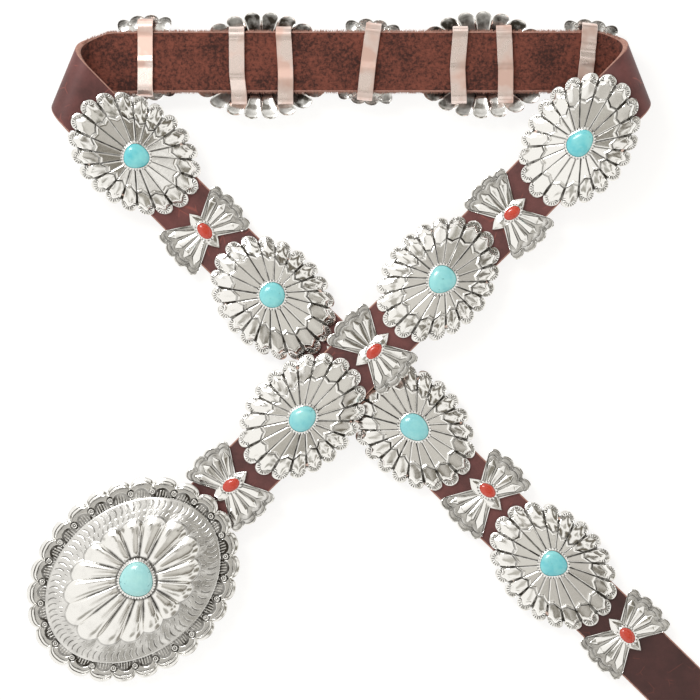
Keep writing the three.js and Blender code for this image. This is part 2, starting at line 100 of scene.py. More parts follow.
# The conchos of each run: place, turn, how far the loops are turned back, length, the petals' shift
# round the rim and the zigzag's offset, and the stone's length, width, turn, pointedness and offset
CONCHOS = {
    "free_1": (-90.9, 82.9, -38.5, -4, 61.8, (0.04, 0.4, -0.3), (11.3, 10.6, 20, 0.05, 0.3, -0.4)),
    "free_2": (-32.6, 22.1, -44.3, 0, 59.8, (0.08, -1.2, 0.8), (11.2, 11.0, 0, 0.01, -0.9, 0.6)),
    "free_3": (26.3, -32.5, -45.8, 0, 61.2, (0.0, 0.5, 0.4), (13.2, 10.9, 8, 0.03, 0.6, 0.5)),
    "free_4": (86.0, -91.4, -45.0, 0, 61.8, (-0.14, 0.6, -0.4), (11.9, 10.9, 25, 0.06, -1.0, 0.6)),
    "buckle_1": (96.6, 88.3, 55.0, -8, 61.8, (0.08, -0.2, -0.9), (12.9, 10.2, -8, 0.04, -0.2, -0.9)),
    "buckle_2": (37.1, 29.8, 47.0, 0, 59.4, (0.03, 0.6, -1.2), (12.4, 11.4, 0, -0.05, 0.5, -1.3)),
    "buckle_3": (-20.1, -27.9, 44.5, 0, 61.0, (0.04, -0.2, -0.9), (12.4, 10.4, -6, 0.02, -0.2, -0.8)),
    "back_1": (55.9, 120.4, -1.5, -2.5, 61.4, (0.5, 0.0, 0.0), (11.8, 10.8, 10, 0.03, 0, 0)),
    "back_2": (-37.5, 120.0, 0.0, 0, 61.4, (0.0, 0.0, 0.0), (12.2, 11.0, -12, 0.03, 0, 0)),
}
# How pale a stone is, where it isn't the full blue
PALE = {"free_4": 0.12, "free_2": 0.1, "free_3": 0.35, "buckle_2": 0.3, "buckle_3": 0.25}
CONCHO_WIDTH = 45.4
PETALS = 20
# The way in which the petals of a run slope down the longest
BRIGHT_WAY = {"free": 90, "buckle": 225, "back": 90}

# The butterflies of each run: place, turn, how far the loop is turned back, and the coral's length,
# width, turn, pointedness and offset
BUTTERFLIES = {
    "free_1": (-61.8, 50.7, -48.7, 0, (8.0, 5.5, 0, 0, 0.15, 0.0)),
    "free_2": (-3.0, -4.9, -44.5, 0, (8.0, 5.4, 4, 0, 0.2, 0.3)),
    "free_3": (57.4, -61.0, -45.0, 0, (7.9, 5.3, 8, 0, -0.65, 1.7)),
    "free_4": (116.4, -120.4, -44.8, 0, (8.0, 5.5, -1, 0, 0.7, 0.4)),
    "buckle_1": (67.1, 57.5, 43.9, 0, (7.8, 5.3, -9, 0, 1.3, -0.65)),
    "buckle_2": (9.4, 0.3, 45.0, 0, (8.1, 5.2, 0, 0, -0.1, -1.1)),
    "buckle_3": (-50.5, -57.4, 41.4, 0, (8.0, 5.5, -12, 0, 1.2, 0.15)),
    "back_1": (100.5, 121.5, -6.3, 0, (8.1, 5.4, 0, 0, 0, 0)),
    "back_2": (8.0, 121.6, -6.1, 0, (8.1, 5.4, 6, 0, 0, 0)),
    "back_3": (-86.2, 123.4, 3.3, 3.3, (8.1, 5.4, -4, 0, 0, 0)),
}

# The buckle: place with the height of its rim plane, turn and tilt, and its stone as above
BUCKLE_PLACE = (-91.7, -97.2, 5.03)
BUCKLE_TURN = 39.4
BUCKLE_TILT = 5.1
BUCKLE_STONE = (15.2, 14.4, 40, 0.04, 2.6, -0.7)


# Small tools

def srgb(code):
    """A hex colour as the linear colour that a shader works with."""
    channels = [int(code[k:k + 2], 16) / 255 for k in (1, 3, 5)]
    linear = [c / 12.92 if c <= 0.04045 else ((c + 0.055) / 1.055) ** 2.4 for c in channels]
    return (*linear, 1.0)


def unit(vector):
    return np.asarray(vector, float) / np.linalg.norm(vector)


def smooth(low, high, x):
    """0 below low and 1 above high, with a soft step between them."""
    t = np.clip((x - low) / (high - low), 0, 1)
    return t * t * (3 - 2 * t)


def bump(x, width):
    """A soft ridge, 1 at 0 and gone a few widths away."""
    return np.exp(-(x / width) ** 2)


# Where things lie

def fold_sections(fold):
    """Sections of the strap round a fold: middle points, half widths and grain normals."""
    heading = math.radians(fold["heading"])
    south = np.array([math.cos(heading), math.sin(heading), 0])
    inward = fold["inward"] * np.array([-south[1], south[0], 0])
    share = np.linspace(0, 1, FOLD_STEPS + 1)
    roll = np.radians(fold["roll_start"] + (fold["roll_end"] - fold["roll_start"]) * share)
    bulge = fold["middle"] - (fold["start"] + fold["end"]) / 2
    drift = fold["start"] + (fold["end"] - fold["start"]) * share + bulge * (1 - (2 * share - 1) ** 2)
    reach = FOLD_RADIUS + LEATHER / 2 - FOLD_RADIUS * np.sin(roll)
    points = np.outer(reach, inward) + np.outer(drift, south) + (fold["x"], fold["y"], fold["low"])
    points[:, 2] += FOLD_RADIUS * (1 - np.cos(roll))
    halves = np.tile(-FOLD_HALF_WIDTH * south, (len(share), 1))
    halves[:, 2] = fold["lift_start"] + (fold["lift_end"] - fold["lift_start"]) * share
    normals = np.outer(-np.sin(roll), inward)
    normals[:, 2] = -np.cos(roll)
    return points, halves, normals


def strap_axes(along, grain_up):
    """The way across the strap, towards its outer edge, and the way that its grain faces."""
    across = grain_up * unit((-along[1], along[0], 0))
    return across, unit(np.cross(unit(along), across))


def run_sections(stations, before, after, grain_up):
    """Square sections of a straight run between the points before and after it."""
    points = np.array(stations, float)
    line = np.vstack([points[0] if before is None else before, points,
                      points[-1] if after is None else after])
    axes = [strap_axes(line[k + 2] - line[k], grain_up) for k in range(len(points))]
    halves = np.array([across for across, _ in axes]) * STRAP_WIDTH / 2
    return points, halves, np.array([normal for _, normal in axes])


right_fold = fold_sections(RIGHT_FOLD)
left_fold = fold_sections(LEFT_FOLD)
ON_RIGHT, OFF_RIGHT = right_fold[0][0], right_fold[0][-1]
ON_LEFT, OFF_LEFT = left_fold[0][0], left_fold[0][-1]
RUNS = {
    "buckle": (np.vstack([BUCKLE_RUN, ON_RIGHT]), 1),
    "back": (np.vstack([OFF_RIGHT, BACK_RUN, ON_LEFT]), -1),
    "free": (np.vstack([OFF_LEFT, FREE_RUN]), 1),
}


def in_frame(points):
    """Points measured from the photograph's middle, as metres in the frame."""
    return (np.asarray(points, float) + (*PHOTO_MIDDLE, 0)) * MM


def seat_on(run, x, y, turn):
    """The place and axes of a piece on a run: its rim plane lies a gap above the grain."""
    line, grain_up = RUNS[run]
    for start, stop in zip(line, line[1:]):
        ahead = (stop - start)[:2]
        share = np.dot((x, y) - start[:2], ahead) / np.dot(ahead, ahead)
        if 0 <= share <= 1:
            break
    _, normal = strap_axes(stop - start, grain_up)
    height = start[2] - np.dot((x, y) - start[:2], normal[:2]) / normal[2]
    origin = np.array([x, y, height]) + normal * (LEATHER / 2 + GAP)
    angle = math.radians(turn)
    along = np.array([math.cos(angle), math.sin(angle), 0])
    along = unit(along - normal * np.dot(along, normal))
    return origin, np.array([along, np.cross(normal, along), normal])


def buckle_seat():
    """The buckle's place and axes: it leans on its rim and on the strap."""
    turn, tilt = math.radians(BUCKLE_TURN), math.radians(BUCKLE_TILT)
    flat = np.array([math.cos(turn), math.sin(turn), 0])
    along = flat * math.cos(tilt) + np.array([0, 0, math.sin(tilt)])
    across = np.array([-flat[1], flat[0], 0])
    return np.array(BUCKLE_PLACE), np.array([along, across, np.cross(along, across)])


def placed(points, seat):
    origin, axes = seat
    return origin + np.asarray(points) @ axes


# Meshes

class Skin:
    """A closed skin through rings of one count, from its first ring or point to its last. Each ring comes
    with its darkness, oxide in grooves together with painted shade, or for a stone its paleness, a number
    or one number a point."""

    def __init__(self, rings, oxide_shade_and_paleness=None):
        sizes = [len(ring) for ring in rings]
        self.count = max(sizes)
        self.points = np.vstack(rings)
        shades = oxide_shade_and_paleness or [0.0] * len(rings)
        self.oxide_shade_and_paleness = np.concatenate([np.broadcast_to(s, n) for s, n in zip(shades, sizes)])
        starts = np.concatenate([[0], np.cumsum(sizes)[:-1]])
        near = np.arange(self.count)
        far = (near + 1) % self.count
        self.faces = []
        for start, after, size, beyond in zip(starts, starts[1:], sizes, sizes[1:]):
            if size == 1:
                self.faces.append(np.column_stack([np.full(self.count, start), after + near, after + far]))
            elif beyond == 1:
                self.faces.append(np.column_stack([start + near, np.full(self.count, after), start + far]))
            else:
                self.faces.append(np.column_stack([start + near, after + near, after + far, start + far]))

    def joined(self):
        """Runs the last ring back into the first, as in a tube bent round to meet itself."""
        near = np.arange(self.count)
        far = (near + 1) % self.count
        last = len(self.points) - self.count
        self.faces.append(np.column_stack([last + near, near, far, last + far]))
        return self

    def capped(self):
        """Closes the first and the last ring, each folded flat along its own middle."""
        half = np.arange(self.count // 2 - 1)
        mirror = self.count - 1 - half
        for start, turned in ((0, True), (len(self.points) - self.count, False)):
            block = start + np.column_stack([half, half + 1, mirror - 1, mirror])
            self.faces.append(block[:, ::-1] if turned else block)
        return self

    def outward(self):
        """Turns the faces round if they look into the skin."""
        volume = 0.0
        for block in self.faces:
            a = self.points[block[:, 0]]
            for k in range(1, block.shape[1] - 1):
                b, c = self.points[block[:, k]], self.points[block[:, k + 1]]
                volume += np.einsum("ij,ij->", a, np.cross(b, c))
        if volume < 0:
            self.faces = [block[:, ::-1] for block in self.faces]
        return self


def stamp_places(skins, table):
    """The place of every face corner from the nearest stamp, turned upright as that stamp stands.
    table has rows of x, y, the way the stamp points in radians, its kind and how far it reaches."""
    rows = np.array(table, float)
    found = []
    for skin in skins:
        for block in skin.outward().faces:
            flat = skin.points[block][:, :, :2]
            middle = flat.mean(1)
            sides = flat[:, 1:3] - flat[:, :1]
            upward = sides[:, 0, 0] * sides[:, 1, 1] > sides[:, 0, 1] * sides[:, 1, 0]
            away = np.linalg.norm(middle[:, None] - rows[None, :, :2], axis=2) / rows[:, 4]
            nearest = away.argmin(1)
            row = rows[nearest]
            offset = flat - row[:, None, :2]
            c, s = np.cos(row[:, 2])[:, None], np.sin(row[:, 2])[:, None]
            x = offset[:, :, 0] * s - offset[:, :, 1] * c
            y = offset[:, :, 0] * c + offset[:, :, 1] * s
            kind = np.where((away.min(1) < 1) & upward, row[:, 3], 0)
            found.append(np.dstack([x, y, np.repeat(kind[:, None], x.shape[1], 1)]).reshape(-1, 3))
    return np.vstack(found)


def make_piece(name, skins, seat, materials, node=None, stamps=None, face_slots=None, sharp=40):
    """One piece from skins in a seat's own axes, with its stamps as places on face corners. It rides
    on the belt, takes its finish from a slot and stands for its node."""
    points, faces, oxide_shade_and_paleness, start = [], [], [], 0
    for skin in skins:
        skin.outward()
        points.append(skin.points)
        oxide_shade_and_paleness.append(skin.oxide_shade_and_paleness)
        for block in skin.faces:
            faces.extend((block + start).tolist())
        start += len(skin.points)
    mesh = bpy.data.meshes.new(name)
    mesh.from_pydata(in_frame(placed(np.vstack(points), seat)).tolist(), [], faces)
    # Each point's darkness, oxide together with painted shade, or a stone's paleness
    mesh.attributes.new("oxide_shade_and_paleness", "FLOAT", "POINT").data.foreach_set("value", np.concatenate(oxide_shade_and_paleness))
    if stamps is not None:
        mesh.attributes.new("stamp", "FLOAT_VECTOR", "CORNER").data.foreach_set("vector", stamps.ravel())
    for material in materials:
        mesh.materials.append(material)
    if face_slots is not None:
        mesh.polygons.foreach_set("material_index", face_slots)
    mesh.shade_smooth()
    mesh.set_sharp_from_angle(angle=math.radians(sharp))
    made = bpy.data.objects.new(name, mesh)
    bpy.context.scene.collection.objects.link(made)
    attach(made, BODY)
    if node:
        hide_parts(node)


# Shared outlines

def stone_edge(stone, angle, margin):
    """The outline of a stone, grown by a margin, at angles from its own centre."""
    long, short, turn, egg, x, y = stone
    across = angle - math.radians(turn)
    oval = 1 / np.hypot(np.cos(across) / (long / 2), np.sin(across) / (short / 2))
    radius = oval * (1 + egg * np.cos(3 * across)) + margin
    return np.column_stack([x + radius * np.cos(angle), y + radius * np.sin(angle)])


def oval_points(size, shares):
    """Points on an oval of a length and width, at even shares of the way round."""
    half = np.array(size) / 2
    angle = np.linspace(0, 2 * math.pi, 1441)
    oval = np.column_stack([np.cos(angle), np.sin(angle)]) * half
    reach = np.concatenate([[0], np.cumsum(np.linalg.norm(np.diff(oval, axis=0), axis=1))])
    where = np.interp(np.mod(shares, 1) * reach[-1], reach, angle)
    return np.column_stack([np.cos(where), np.sin(where)]) * half


def with_height(plan, height):
    return np.column_stack([plan, np.broadcast_to(height, len(plan))])


def crowded(count, pull):
    """Places from 0 to 1, not counting 1, that crowd towards both ends."""
    t = np.arange(count) / count
    return t - pull * np.sin(2 * math.pi * t) / (2 * math.pi)


# Serrated bezels and cabochons

# Real teeth stand about half as far apart, too fine to show, so they are drawn coarser
BEZEL_PITCH = 1.1
TOOTH_STEPS = 6


def bezel(stone, foot, height, wall):
    """A strip of silver pressed over a stone's edge, its top filed into fine teeth."""
    teeth = round(math.pi * (stone[0] + stone[1]) / 2 / BEZEL_PITCH)
    angle = np.linspace(0, 2 * math.pi, teeth * TOOTH_STEPS, endpoint=False)
    gap = np.abs(np.mod(np.arange(len(angle)) / TOOTH_STEPS, 1) * 2 - 1) ** 0.9
    # The dark in the gaps between the teeth and at the wall's foot is painted shade
    rows = (
        (wall, foot, 0.7),
        (wall, height - 0.8, 0.3 + 0.6 * gap),
        (wall - 0.12, height - 0.62 - 0.2 * gap, gap),
        (wall - 0.35, height - 0.45 - 0.25 * gap, gap),
        (wall - 0.55, height - 0.28 - 0.1 * gap, 0.8 * gap),
        (0.12, height - 0.1, 0.45 * gap),
        (-0.05 - 0.15 * (1 - gap), height - 0.02, 0.1),
        (-0.1 - 0.15 * (1 - gap), height - 0.6, 0.8),
        (-0.3, foot, 1.0),
    )
    rings = [with_height(stone_edge(stone, angle, margin), level) for margin, level, _ in rows]
    return Skin(rings, [shade for _, _, shade in rows]).joined()


def cabochon(stone, foot, girdle, top, pale=0.0, sides=56, steps=14):
    """A polished stone: straight sides inside the bezel and a low dome with a full shoulder. Its paleness
    goes where the silver carries its oxide and painted shade."""
    angle = np.linspace(0, 2 * math.pi, sides, endpoint=False)
    centre = np.array(stone[4:])
    edge = stone_edge(stone, angle, -0.05)
    rings = [with_height(centre[None], top)]
    for k in range(1, steps + 1):
        reach = math.sin(k / steps * math.pi / 2)
        level = girdle + (top - girdle) * (1 - reach ** 2.6) ** 0.62
        rings.append(with_height(centre + (edge - centre) * reach, level))
    rings.append(with_height(centre + (edge - centre) * 0.96, foot))
    rings.append(with_height(centre[None], foot))
    return Skin(rings, [pale] * len(rings))


# Copper loops

LOOP_THICK = 0.9
LOOP_WIDE = 6.5
LOOP_SPAN = 33.0
LOOP_MID = -(GAP + LEATHER + GAP) - 0.5
LOOP_BEND = 1.5
LOOP_OFFSET = 10.0


def strip(path, section, along):
    """Rings of a metal strip bent along a path of (across, height), from end to end. Its section has
    rows of (along, off the path), and along is how far each ring lies that way."""
    path, section = np.array(path), np.array(section)
    ahead = np.gradient(path, axis=0)
    out = np.column_stack([-ahead[:, 1], ahead[:, 0]])
    out /= np.linalg.norm(out, axis=1)[:, None]
    rings = [np.column_stack([shift + section[:, 0], point + np.outer(section[:, 1], off)])
             for shift, point, off in zip(np.broadcast_to(along, len(path)), path, out)]
    return [rings[0].mean(0)[None], *rings, rings[-1].mean(0)[None]]


def copper_loop(x, leg_top, bends, wide=LOOP_WIDE, middle=LOOP_MID):
    """A hand bent strip under the strap with a leg at each edge. bends are rows of a place across
    the strap, how far the strip stands off there and how far it is bent along the strap."""
    leg = (LOOP_SPAN - LOOP_THICK) / 2
    low = middle + LOOP_BEND
    side = [(leg, leg_top), (leg, low + 0.5)]
    side += [(leg - LOOP_BEND + LOOP_BEND * math.cos(a), low - LOOP_BEND * math.sin(a))
             for a in np.radians([0, 22, 45, 68, 90])]
    across, dips, shifts = (np.array(column) for column in zip(*bends))
    flat = np.linspace(leg - LOOP_BEND - 0.6, -(leg - LOOP_BEND - 0.6), 31)
    path = [*side, *zip(flat, middle - np.interp(flat, across, dips)), *[(-y, z) for y, z in side[::-1]]]
    half, thick, soft = wide / 2, LOOP_THICK / 2, 0.16
    upper = [(-half, thick - soft), (-half + soft, thick), (-half / 2, thick), (half / 2, thick),
             (half - soft, thick), (half, thick - soft)]
    section = upper + [(-w, -t) for w, t in upper]
    return Skin(strip(path, section, x + np.interp([y for y, _ in path], across, shifts)))


# Conchos

# Columns of half a petal, from its middle to its side, close together by the grooves
HALF_PETAL = (0.0, 0.15, 0.3, 0.44, 0.56, 0.66, 0.75, 0.82, 0.87, 0.91, 0.95, 1.0)
# Depths are measured in from the rim, heights from its plane
TIP_DEPTH = 3.2
TIP_SIDE = 0.94
NOSE_DEPTH = 1.9
COLLAR_DEPTH = 3.5
ZIGZAG = 11.4
ZIGZAG_POINT = 1.7
HUB_MARGIN = 0.7
HUB_HEIGHT = 4.4
FAN_SLOPE = 0.06
GROOVE_DEPTH = 0.3
SUNRAY_DEPTH = 3.5
# The hollow back of a petal: depth in from the rim, height at its middle and at its sides
HOLLOW = (
    (0.4, 0.1, 0.05), (1.0, 0.3, 0.08), (2.0, 0.5, 0.15), (3.4, 0.6, 0.2), (4.7, 0.95, 0.35),
    (5.8, 1.5, 0.6), (7.4, 1.9, 0.95), (9.4, 2.0, 1.4),
)


# Rows of the plate over the fan, as shares of the way from the zigzag to the bezel
FAN_ROWS = (1, 0.95, 0.86, 0.66, 0.46, 0.28, 0.15)
# Over the ridge inside the zigzag: depth past it, rise over the fan and darkness
RIDGE_ROWS = (
    (1.15, 0.0, 0.0), (1.0, 0.02, 0.0), (0.88, 0.07, 0.0), (0.42, 0.31, 0.0), (0.3, 0.34, 0.0),
    (0.14, 0.3, 0.0), (0.02, 0.1, 0.4),
)
# Over the petals, as shares of the way from the zigzag to the collar
PETAL_ROWS = (0.0, 0.03, 0.07, 0.14, 0.22, 0.31, 0.4, 0.49, 0.57, 0.64, 0.7, 0.76, 0.82, 0.88, 0.94, 1.0)
# Over the sunray tips, as shares of the way from the collar to the rim
TIP_ROWS = (0.06, 0.16, 0.3, 0.45, 0.6, 0.72, 0.82, 0.9, 0.96, 1.0)


def petal_columns():
    """Places round one petal, from 0 to 1, not counting 1."""
    half = np.array(HALF_PETAL)
    return np.concatenate([(1 - half[:0:-1]) / 2, (1 + half[:-1]) / 2])


def concho_grid(length, stone, shares):
    """Rim points, the ways inward from them and how far the bezel is, at shares of the rim."""
    rim = oval_points((length, CONCHO_WIDTH), shares)
    hub = stone_edge(stone, 2 * math.pi * shares, HUB_MARGIN)
    spoke = hub - rim
    reach = np.linalg.norm(spoke, axis=1)
    return rim, spoke / reach[:, None], reach


def concho_plate(length, petals, stone, seed, bright):
    """The stamped plate: sunray tips, puffed petals, the zigzag and the fluted fan. bright is the
    way, in degrees, in which the petals slope down the longest."""
    hand = np.random.default_rng(seed)
    shift = petals[0]
    columns = petal_columns()
    count = len(columns)
    u = np.tile(columns, PETALS)
    petal = np.repeat(np.arange(PETALS), count)
    groove_beside = (petal + (u >= 0.5)) % PETALS
    shares = (petal + u + shift) / PETALS
    rim, inward, reach = concho_grid(length, stone, shares)
    side = 2 * u - 1
    v = np.abs(side)

    def each(low, high):
        """A random number for each petal, on all its columns."""
        return hand.uniform(low, high, PETALS)[petal]

    slant, facet, arc = each(-0.06, 0.06), each(-0.045, 0.045), each(0.6, 1.5)
    strength = hand.uniform(0.6, 0.95, PETALS)[groove_beside]
    # Per petal strength of the painted shadow under the zigzag's drop, with some oxide
    oxide_and_shade = each(0.55, 1.0) * (u < 0.5) + each(0.55, 1.0) * (u >= 0.5)
    groove_half = hand.uniform(0.22, 0.4, PETALS)[groove_beside]
    middles = (np.arange(PETALS) + 0.5 + shift) / PETALS
    steep = 0.5 + 0.5 * np.cos(2 * math.pi * middles - math.radians(bright))
    steep = np.clip(steep ** 1.6 + hand.uniform(-0.12, 0.12, PETALS), 0, 1)[petal]
    tip = TIP_DEPTH * (1 - np.sqrt(np.clip(1 - (v / TIP_SIDE) ** 2, 0, 1)))
    tip = tip + 0.6 * np.clip((v - TIP_SIDE) / (1 - TIP_SIDE), 0, 1)
    collar = COLLAR_DEPTH - (COLLAR_DEPTH - NOSE_DEPTH) * bump(v, 0.38)
    collar = np.maximum(collar, tip + 0.35)
    zigzag = ZIGZAG + inward @ np.array(petals[1:]) - ZIGZAG_POINT * v
    middle = np.array(stone[4:])
    rows = []

    def row(depth, level, shade):
        rows.append((with_height(rim + inward * depth[:, None], level), np.clip(shade, 0, 1)))

    def ramp(depth):
        return HUB_HEIGHT - FAN_SLOPE * (reach - depth)

    def fan(depth, rise, shade):
        """A row of the fan: its flutes are parted by narrow grooves with one sloping side."""
        away = np.linalg.norm(rim + inward * depth[:, None] - middle, axis=1)
        turn = np.where(u < 0.5, u, u - 1) * 2 * math.pi * away / PETALS
        groove_and_shade = strength * np.clip(1.6 * bump(turn, groove_half), 0, 1)
        wall = np.interp(turn, [-0.22, 0.0, 0.5], [0.0, 1.0, 0.0])
        level = ramp(depth) + rise + facet * side * away * math.pi / PETALS - GROOVE_DEPTH * wall
        row(depth, level, np.maximum(groove_and_shade, shade))

    # The fan's row at the bezel's foot is painted dark, a painted shade where the bezel meets the plate
    for t in FAN_ROWS:
        fan(zigzag + (reach - zigzag) * t, 0.0, 0.8 * (t > 0.98))
    for off, rise, shade in RIDGE_ROWS:
        fan(zigzag + off, rise, shade)
    # Painted shadow along the foot of the zigzag's drop, with some oxide
    fan(zigzag - 0.08, -0.3, oxide_and_shade)
    fan(zigzag - 0.42, -0.45, oxide_and_shade)
    # Puffed petals: a flat top, a slope down to the collar, and painted shade in the gaps between them
    inner = zigzag - 0.55
    body = inner - collar
    top_in = ramp(zigzag) - 0.3
    top_out = 2.85 - 0.15 * steep
    fold = np.clip(0.8 - 0.42 * steep - 0.16 * v ** (2 * arc), 0.2, 0.95)
    for t in PETAL_ROWS:
        depth = inner - body * t
        flat = top_in + (top_out - top_in) * np.minimum(t / fold, 1)
        drop = np.clip((t - fold) / (1 - fold), 0, 1)
        crown = flat - (flat - 1.45) * (0.35 * drop + 0.65 * drop ** 1.8) + slant * side * 3.5 * (1 - drop)
        wide = np.interp(depth, [3.0, 4.5, 7.5, 10.5], [0.86, 0.88, 0.91, 0.93])
        flank = 1 - smooth(wide - 0.1, wide + 0.02, v)
        floor = np.minimum(crown - 0.3, np.interp(depth, [3.0, 5.0, 10.0], [0.9, 1.2, 2.4]))
        lip = 1.0 if t > 0.02 else 0.0
        level = (floor + (crown - floor) * flank) * lip + (ramp(zigzag) - 0.5) * (1 - lip)
        row(depth, level, np.maximum(smooth(wide - 0.03, wide + 0.03, v), (1.0 - lip) * oxide_and_shade))
    # Sunray tips, with painted shade on their sides where they meet their neighbours and a faint painted
    # dark outline along the rim
    row(collar - 0.12, 1.2 - 0.1 * v, 0.75)
    for t in TIP_ROWS:
        depth = collar - 0.12 + (tip - collar + 0.12) * t
        level = 1.42 - 0.26 * (collar - depth) - 0.2 * smooth(0.8, 1.0, t)
        row(depth, level, np.maximum(0.9 * smooth(0.9, 0.97, v) * (t < 0.95), 0.3 * (t > 0.99)))
    top = [ring for ring, _ in rows]
    edge = top[-1].copy()
    edge[:, :2] -= inward * 0.08
    edge[:, 2] = 0.2
    arch = np.sqrt(1 - v ** 2)
    under = [with_height(rim + inward * (tip + 0.15)[:, None], 0.02)]
    for depth, high, low in HOLLOW:
        inset = np.maximum(depth, tip + 0.2 + 0.06 * depth)
        under.append(with_height(rim + inward * inset[:, None], low + (high - low) * arch))
    for t in (0.25, 0.7):
        depth = 10.2 + (reach - 10.2) * t
        under.append(with_height(rim + inward * depth[:, None], ramp(depth) - 0.9))
    hub = np.array([stone[4:]])
    rings = [with_height(hub, 4.4), *top, edge, *under, with_height(hub, 3.4)]
    # Painted shade in the petals' hollow backs, lighter on the petals that slope down the longest
    deep = np.interp(np.arange(len(under)), [0, 1, 2, 3], [0.0, 0.0, 0.7, 1.0])
    hollow_shade = each(0.75, 1.3) * (1 - 0.65 * steep * each(0.3, 1.0)) * (1 - smooth(0.76, 0.9, v))
    below = [np.clip(share * hollow_shade, 0, 1) for share in deep]
    return Skin(rings, [1.0, *[shade for _, shade in rows], 0.35, *below, 0.3])


def concho_stamps(length, shift, stone):
    """Where each petal's sunray is stamped, and the way it faces."""
    middles = (np.arange(PETALS) + 0.5 + shift) / PETALS
    rim, inward, _ = concho_grid(length, stone, middles)
    places = rim + inward * SUNRAY_DEPTH
    return [(x, y, math.atan2(-iy, -ix), 1, 4.2) for (x, y), (ix, iy) in zip(places, inward)]


# Profile of a stamped ring: radius and height as shares of its size, and darkness
RING_PROFILE = (
    (0.25, 0.5, 0.4), (0.4, 0.35, 0.9), (0.6, 0.4, 0.8), (0.75, 0.75, 0.0),
    (1.0, 0.9, 0.0), (1.2, 0.7, 0.0), (1.32, 0.4, 0.9), (1.4, 0.0, 1.0),
)


def stamp_ring(place, size, base):
    """A small raised ring with a bead in it, stamped with a round punch."""
    angle = np.linspace(0, 2 * math.pi, 18, endpoint=False)
    around = np.column_stack([np.cos(angle), np.sin(angle)]) * size
    middle = np.array([place])
    rings, shades = [with_height(middle, base + 0.55 * size)], [0.1]
    for radius, level, shade in RING_PROFILE:
        rings.append(with_height(around * radius + place, base + level * size))
        shades.append(shade)
    return Skin([*rings, with_height(middle, base)], [*shades, 1.0])


# Butterflies

WING_EDGE = (
    (10.9, 12.4), (11.35, 13.5), (11.55, 14.8), (11.0, 16.1), (10.0, 16.8), (8.6, 16.9), (7.2, 16.45),
    (6.2, 16.0), (5.7, 16.9), (4.9, 17.7), (3.3, 18.15), (1.7, 18.05), (0.6, 17.6), (0.0, 17.0),
)
# Columns of a half wing: place along the wing's edge, as a share of its points, and where the
# column starts by the bezel
WING_LINES = (
    (0.0, 5.5, 2.9, 4),
    (0.095, 4.75, 2.8, 4),
    (0.36, 2.45, 2.3, 4),
    (0.54, 1.6, 2.2, 4),
    (0.78, 0.85, 2.1, 4),
    (1.0, 0.0, 2.1, 0),
)
WING_ROWS = 30
# The ridged pencils of half a wing: where each starts by the bezel and where its tip is
PENCILS = ((2.3, 2.5, 8.1, 13.0), (0.8, 2.7, 2.75, 14.4))
# Stations of a pencil: share of its length, half width and height of its ridge
PENCIL_SHAPE = (
    (0.0, 0.65, 0.35), (0.4, 1.05, 0.45), (0.74, 1.75, 0.6), (0.76, 1.75, 0.6), (1.0, 0.06, 0.06),
)
# Half a pencil's cross section: place, share of the ridge's height and how dark it is. The dark at its
# foot is painted shade in the gaps between pencils
PENCIL_SIDE = ((1.12, -0.3, 1.0), (1.1, 0.04, 1.0), (0.92, 0.08, 1.0), (0.8, 0.24, 0.0))
PENCIL_STEPS = 5
# Height of a wing's flat field, and where its domes, rings and ray fans lie in one quarter
FIELD = 0.75
SCALLOP_DOMES = ((9.3, 14.6), (3.15, 15.8))
WING_RINGS = ((6.25, 15.0), (0.0, 15.7))
WING_RAYS = ((9.4, 14.6), (3.15, 15.9))


def wing_columns():
    """Bezel end and edge end for the columns of one whole wing."""
    edge = np.array(WING_EDGE)
    share = np.linspace(0, 1, len(edge))
    places = []
    for row, after in zip(WING_LINES, WING_LINES[1:]):
        for k in range(row[3]):
            places.append(np.array(row[:3]) + (np.array(after[:3]) - row[:3]) * k / row[3])
    places.append(np.array(WING_LINES[-1][:3]))
    places = np.array(places)
    far = np.column_stack([np.interp(places[:, 0], share, column) for column in edge.T])
    near = places[:, 1:]
    return (np.vstack([near, near[-2::-1] * (-1, 1)]), np.vstack([far, far[-2::-1] * (-1, 1)]))


def pencil(start, stop, side):
    """One pencil: a crisp roof that widens outward to its shoulders and ends in a point."""
    start, stop = np.array(start, float), np.array(stop, float)
    ahead = stop - start
    across = np.array([-ahead[1], ahead[0]]) / np.linalg.norm(ahead)
    profile = [(-place, level, dark) for place, level, dark in PENCIL_SIDE] + [(0.4, 1.0, 0.0)]
    profile = np.array(profile + list(PENCIL_SIDE[::-1]))
    rings = []
    for station, after in zip(PENCIL_SHAPE, PENCIL_SHAPE[1:]):
        last = after is PENCIL_SHAPE[-1]
        for k in range(PENCIL_STEPS + last):
            share, half, ridge = np.array(station) + (np.array(after) - station) * k / PENCIL_STEPS
            plan = start + ahead * share + np.outer(profile[:, 0] * half, across)
            rings.append(with_height(plan, FIELD + ridge * profile[:, 1]) * (side, side, 1))
    ends = [rings[0].mean(0)[None], rings[-1].mean(0)[None]]
    return Skin([ends[0], *rings, ends[1]], [0.5, *[profile[:, 2]] * len(rings), 0.5])


def domes(x, y):
    """The gentle swelling of the scallops along a wing's edge."""
    rise = np.zeros_like(x)
    for cx, cy in SCALLOP_DOMES:
        away = np.hypot(np.abs(x) - cx, y - cy)
        rise = np.maximum(rise, 0.35 * np.clip(1 - (away / 2.7) ** 2, 0, 1))
    return rise


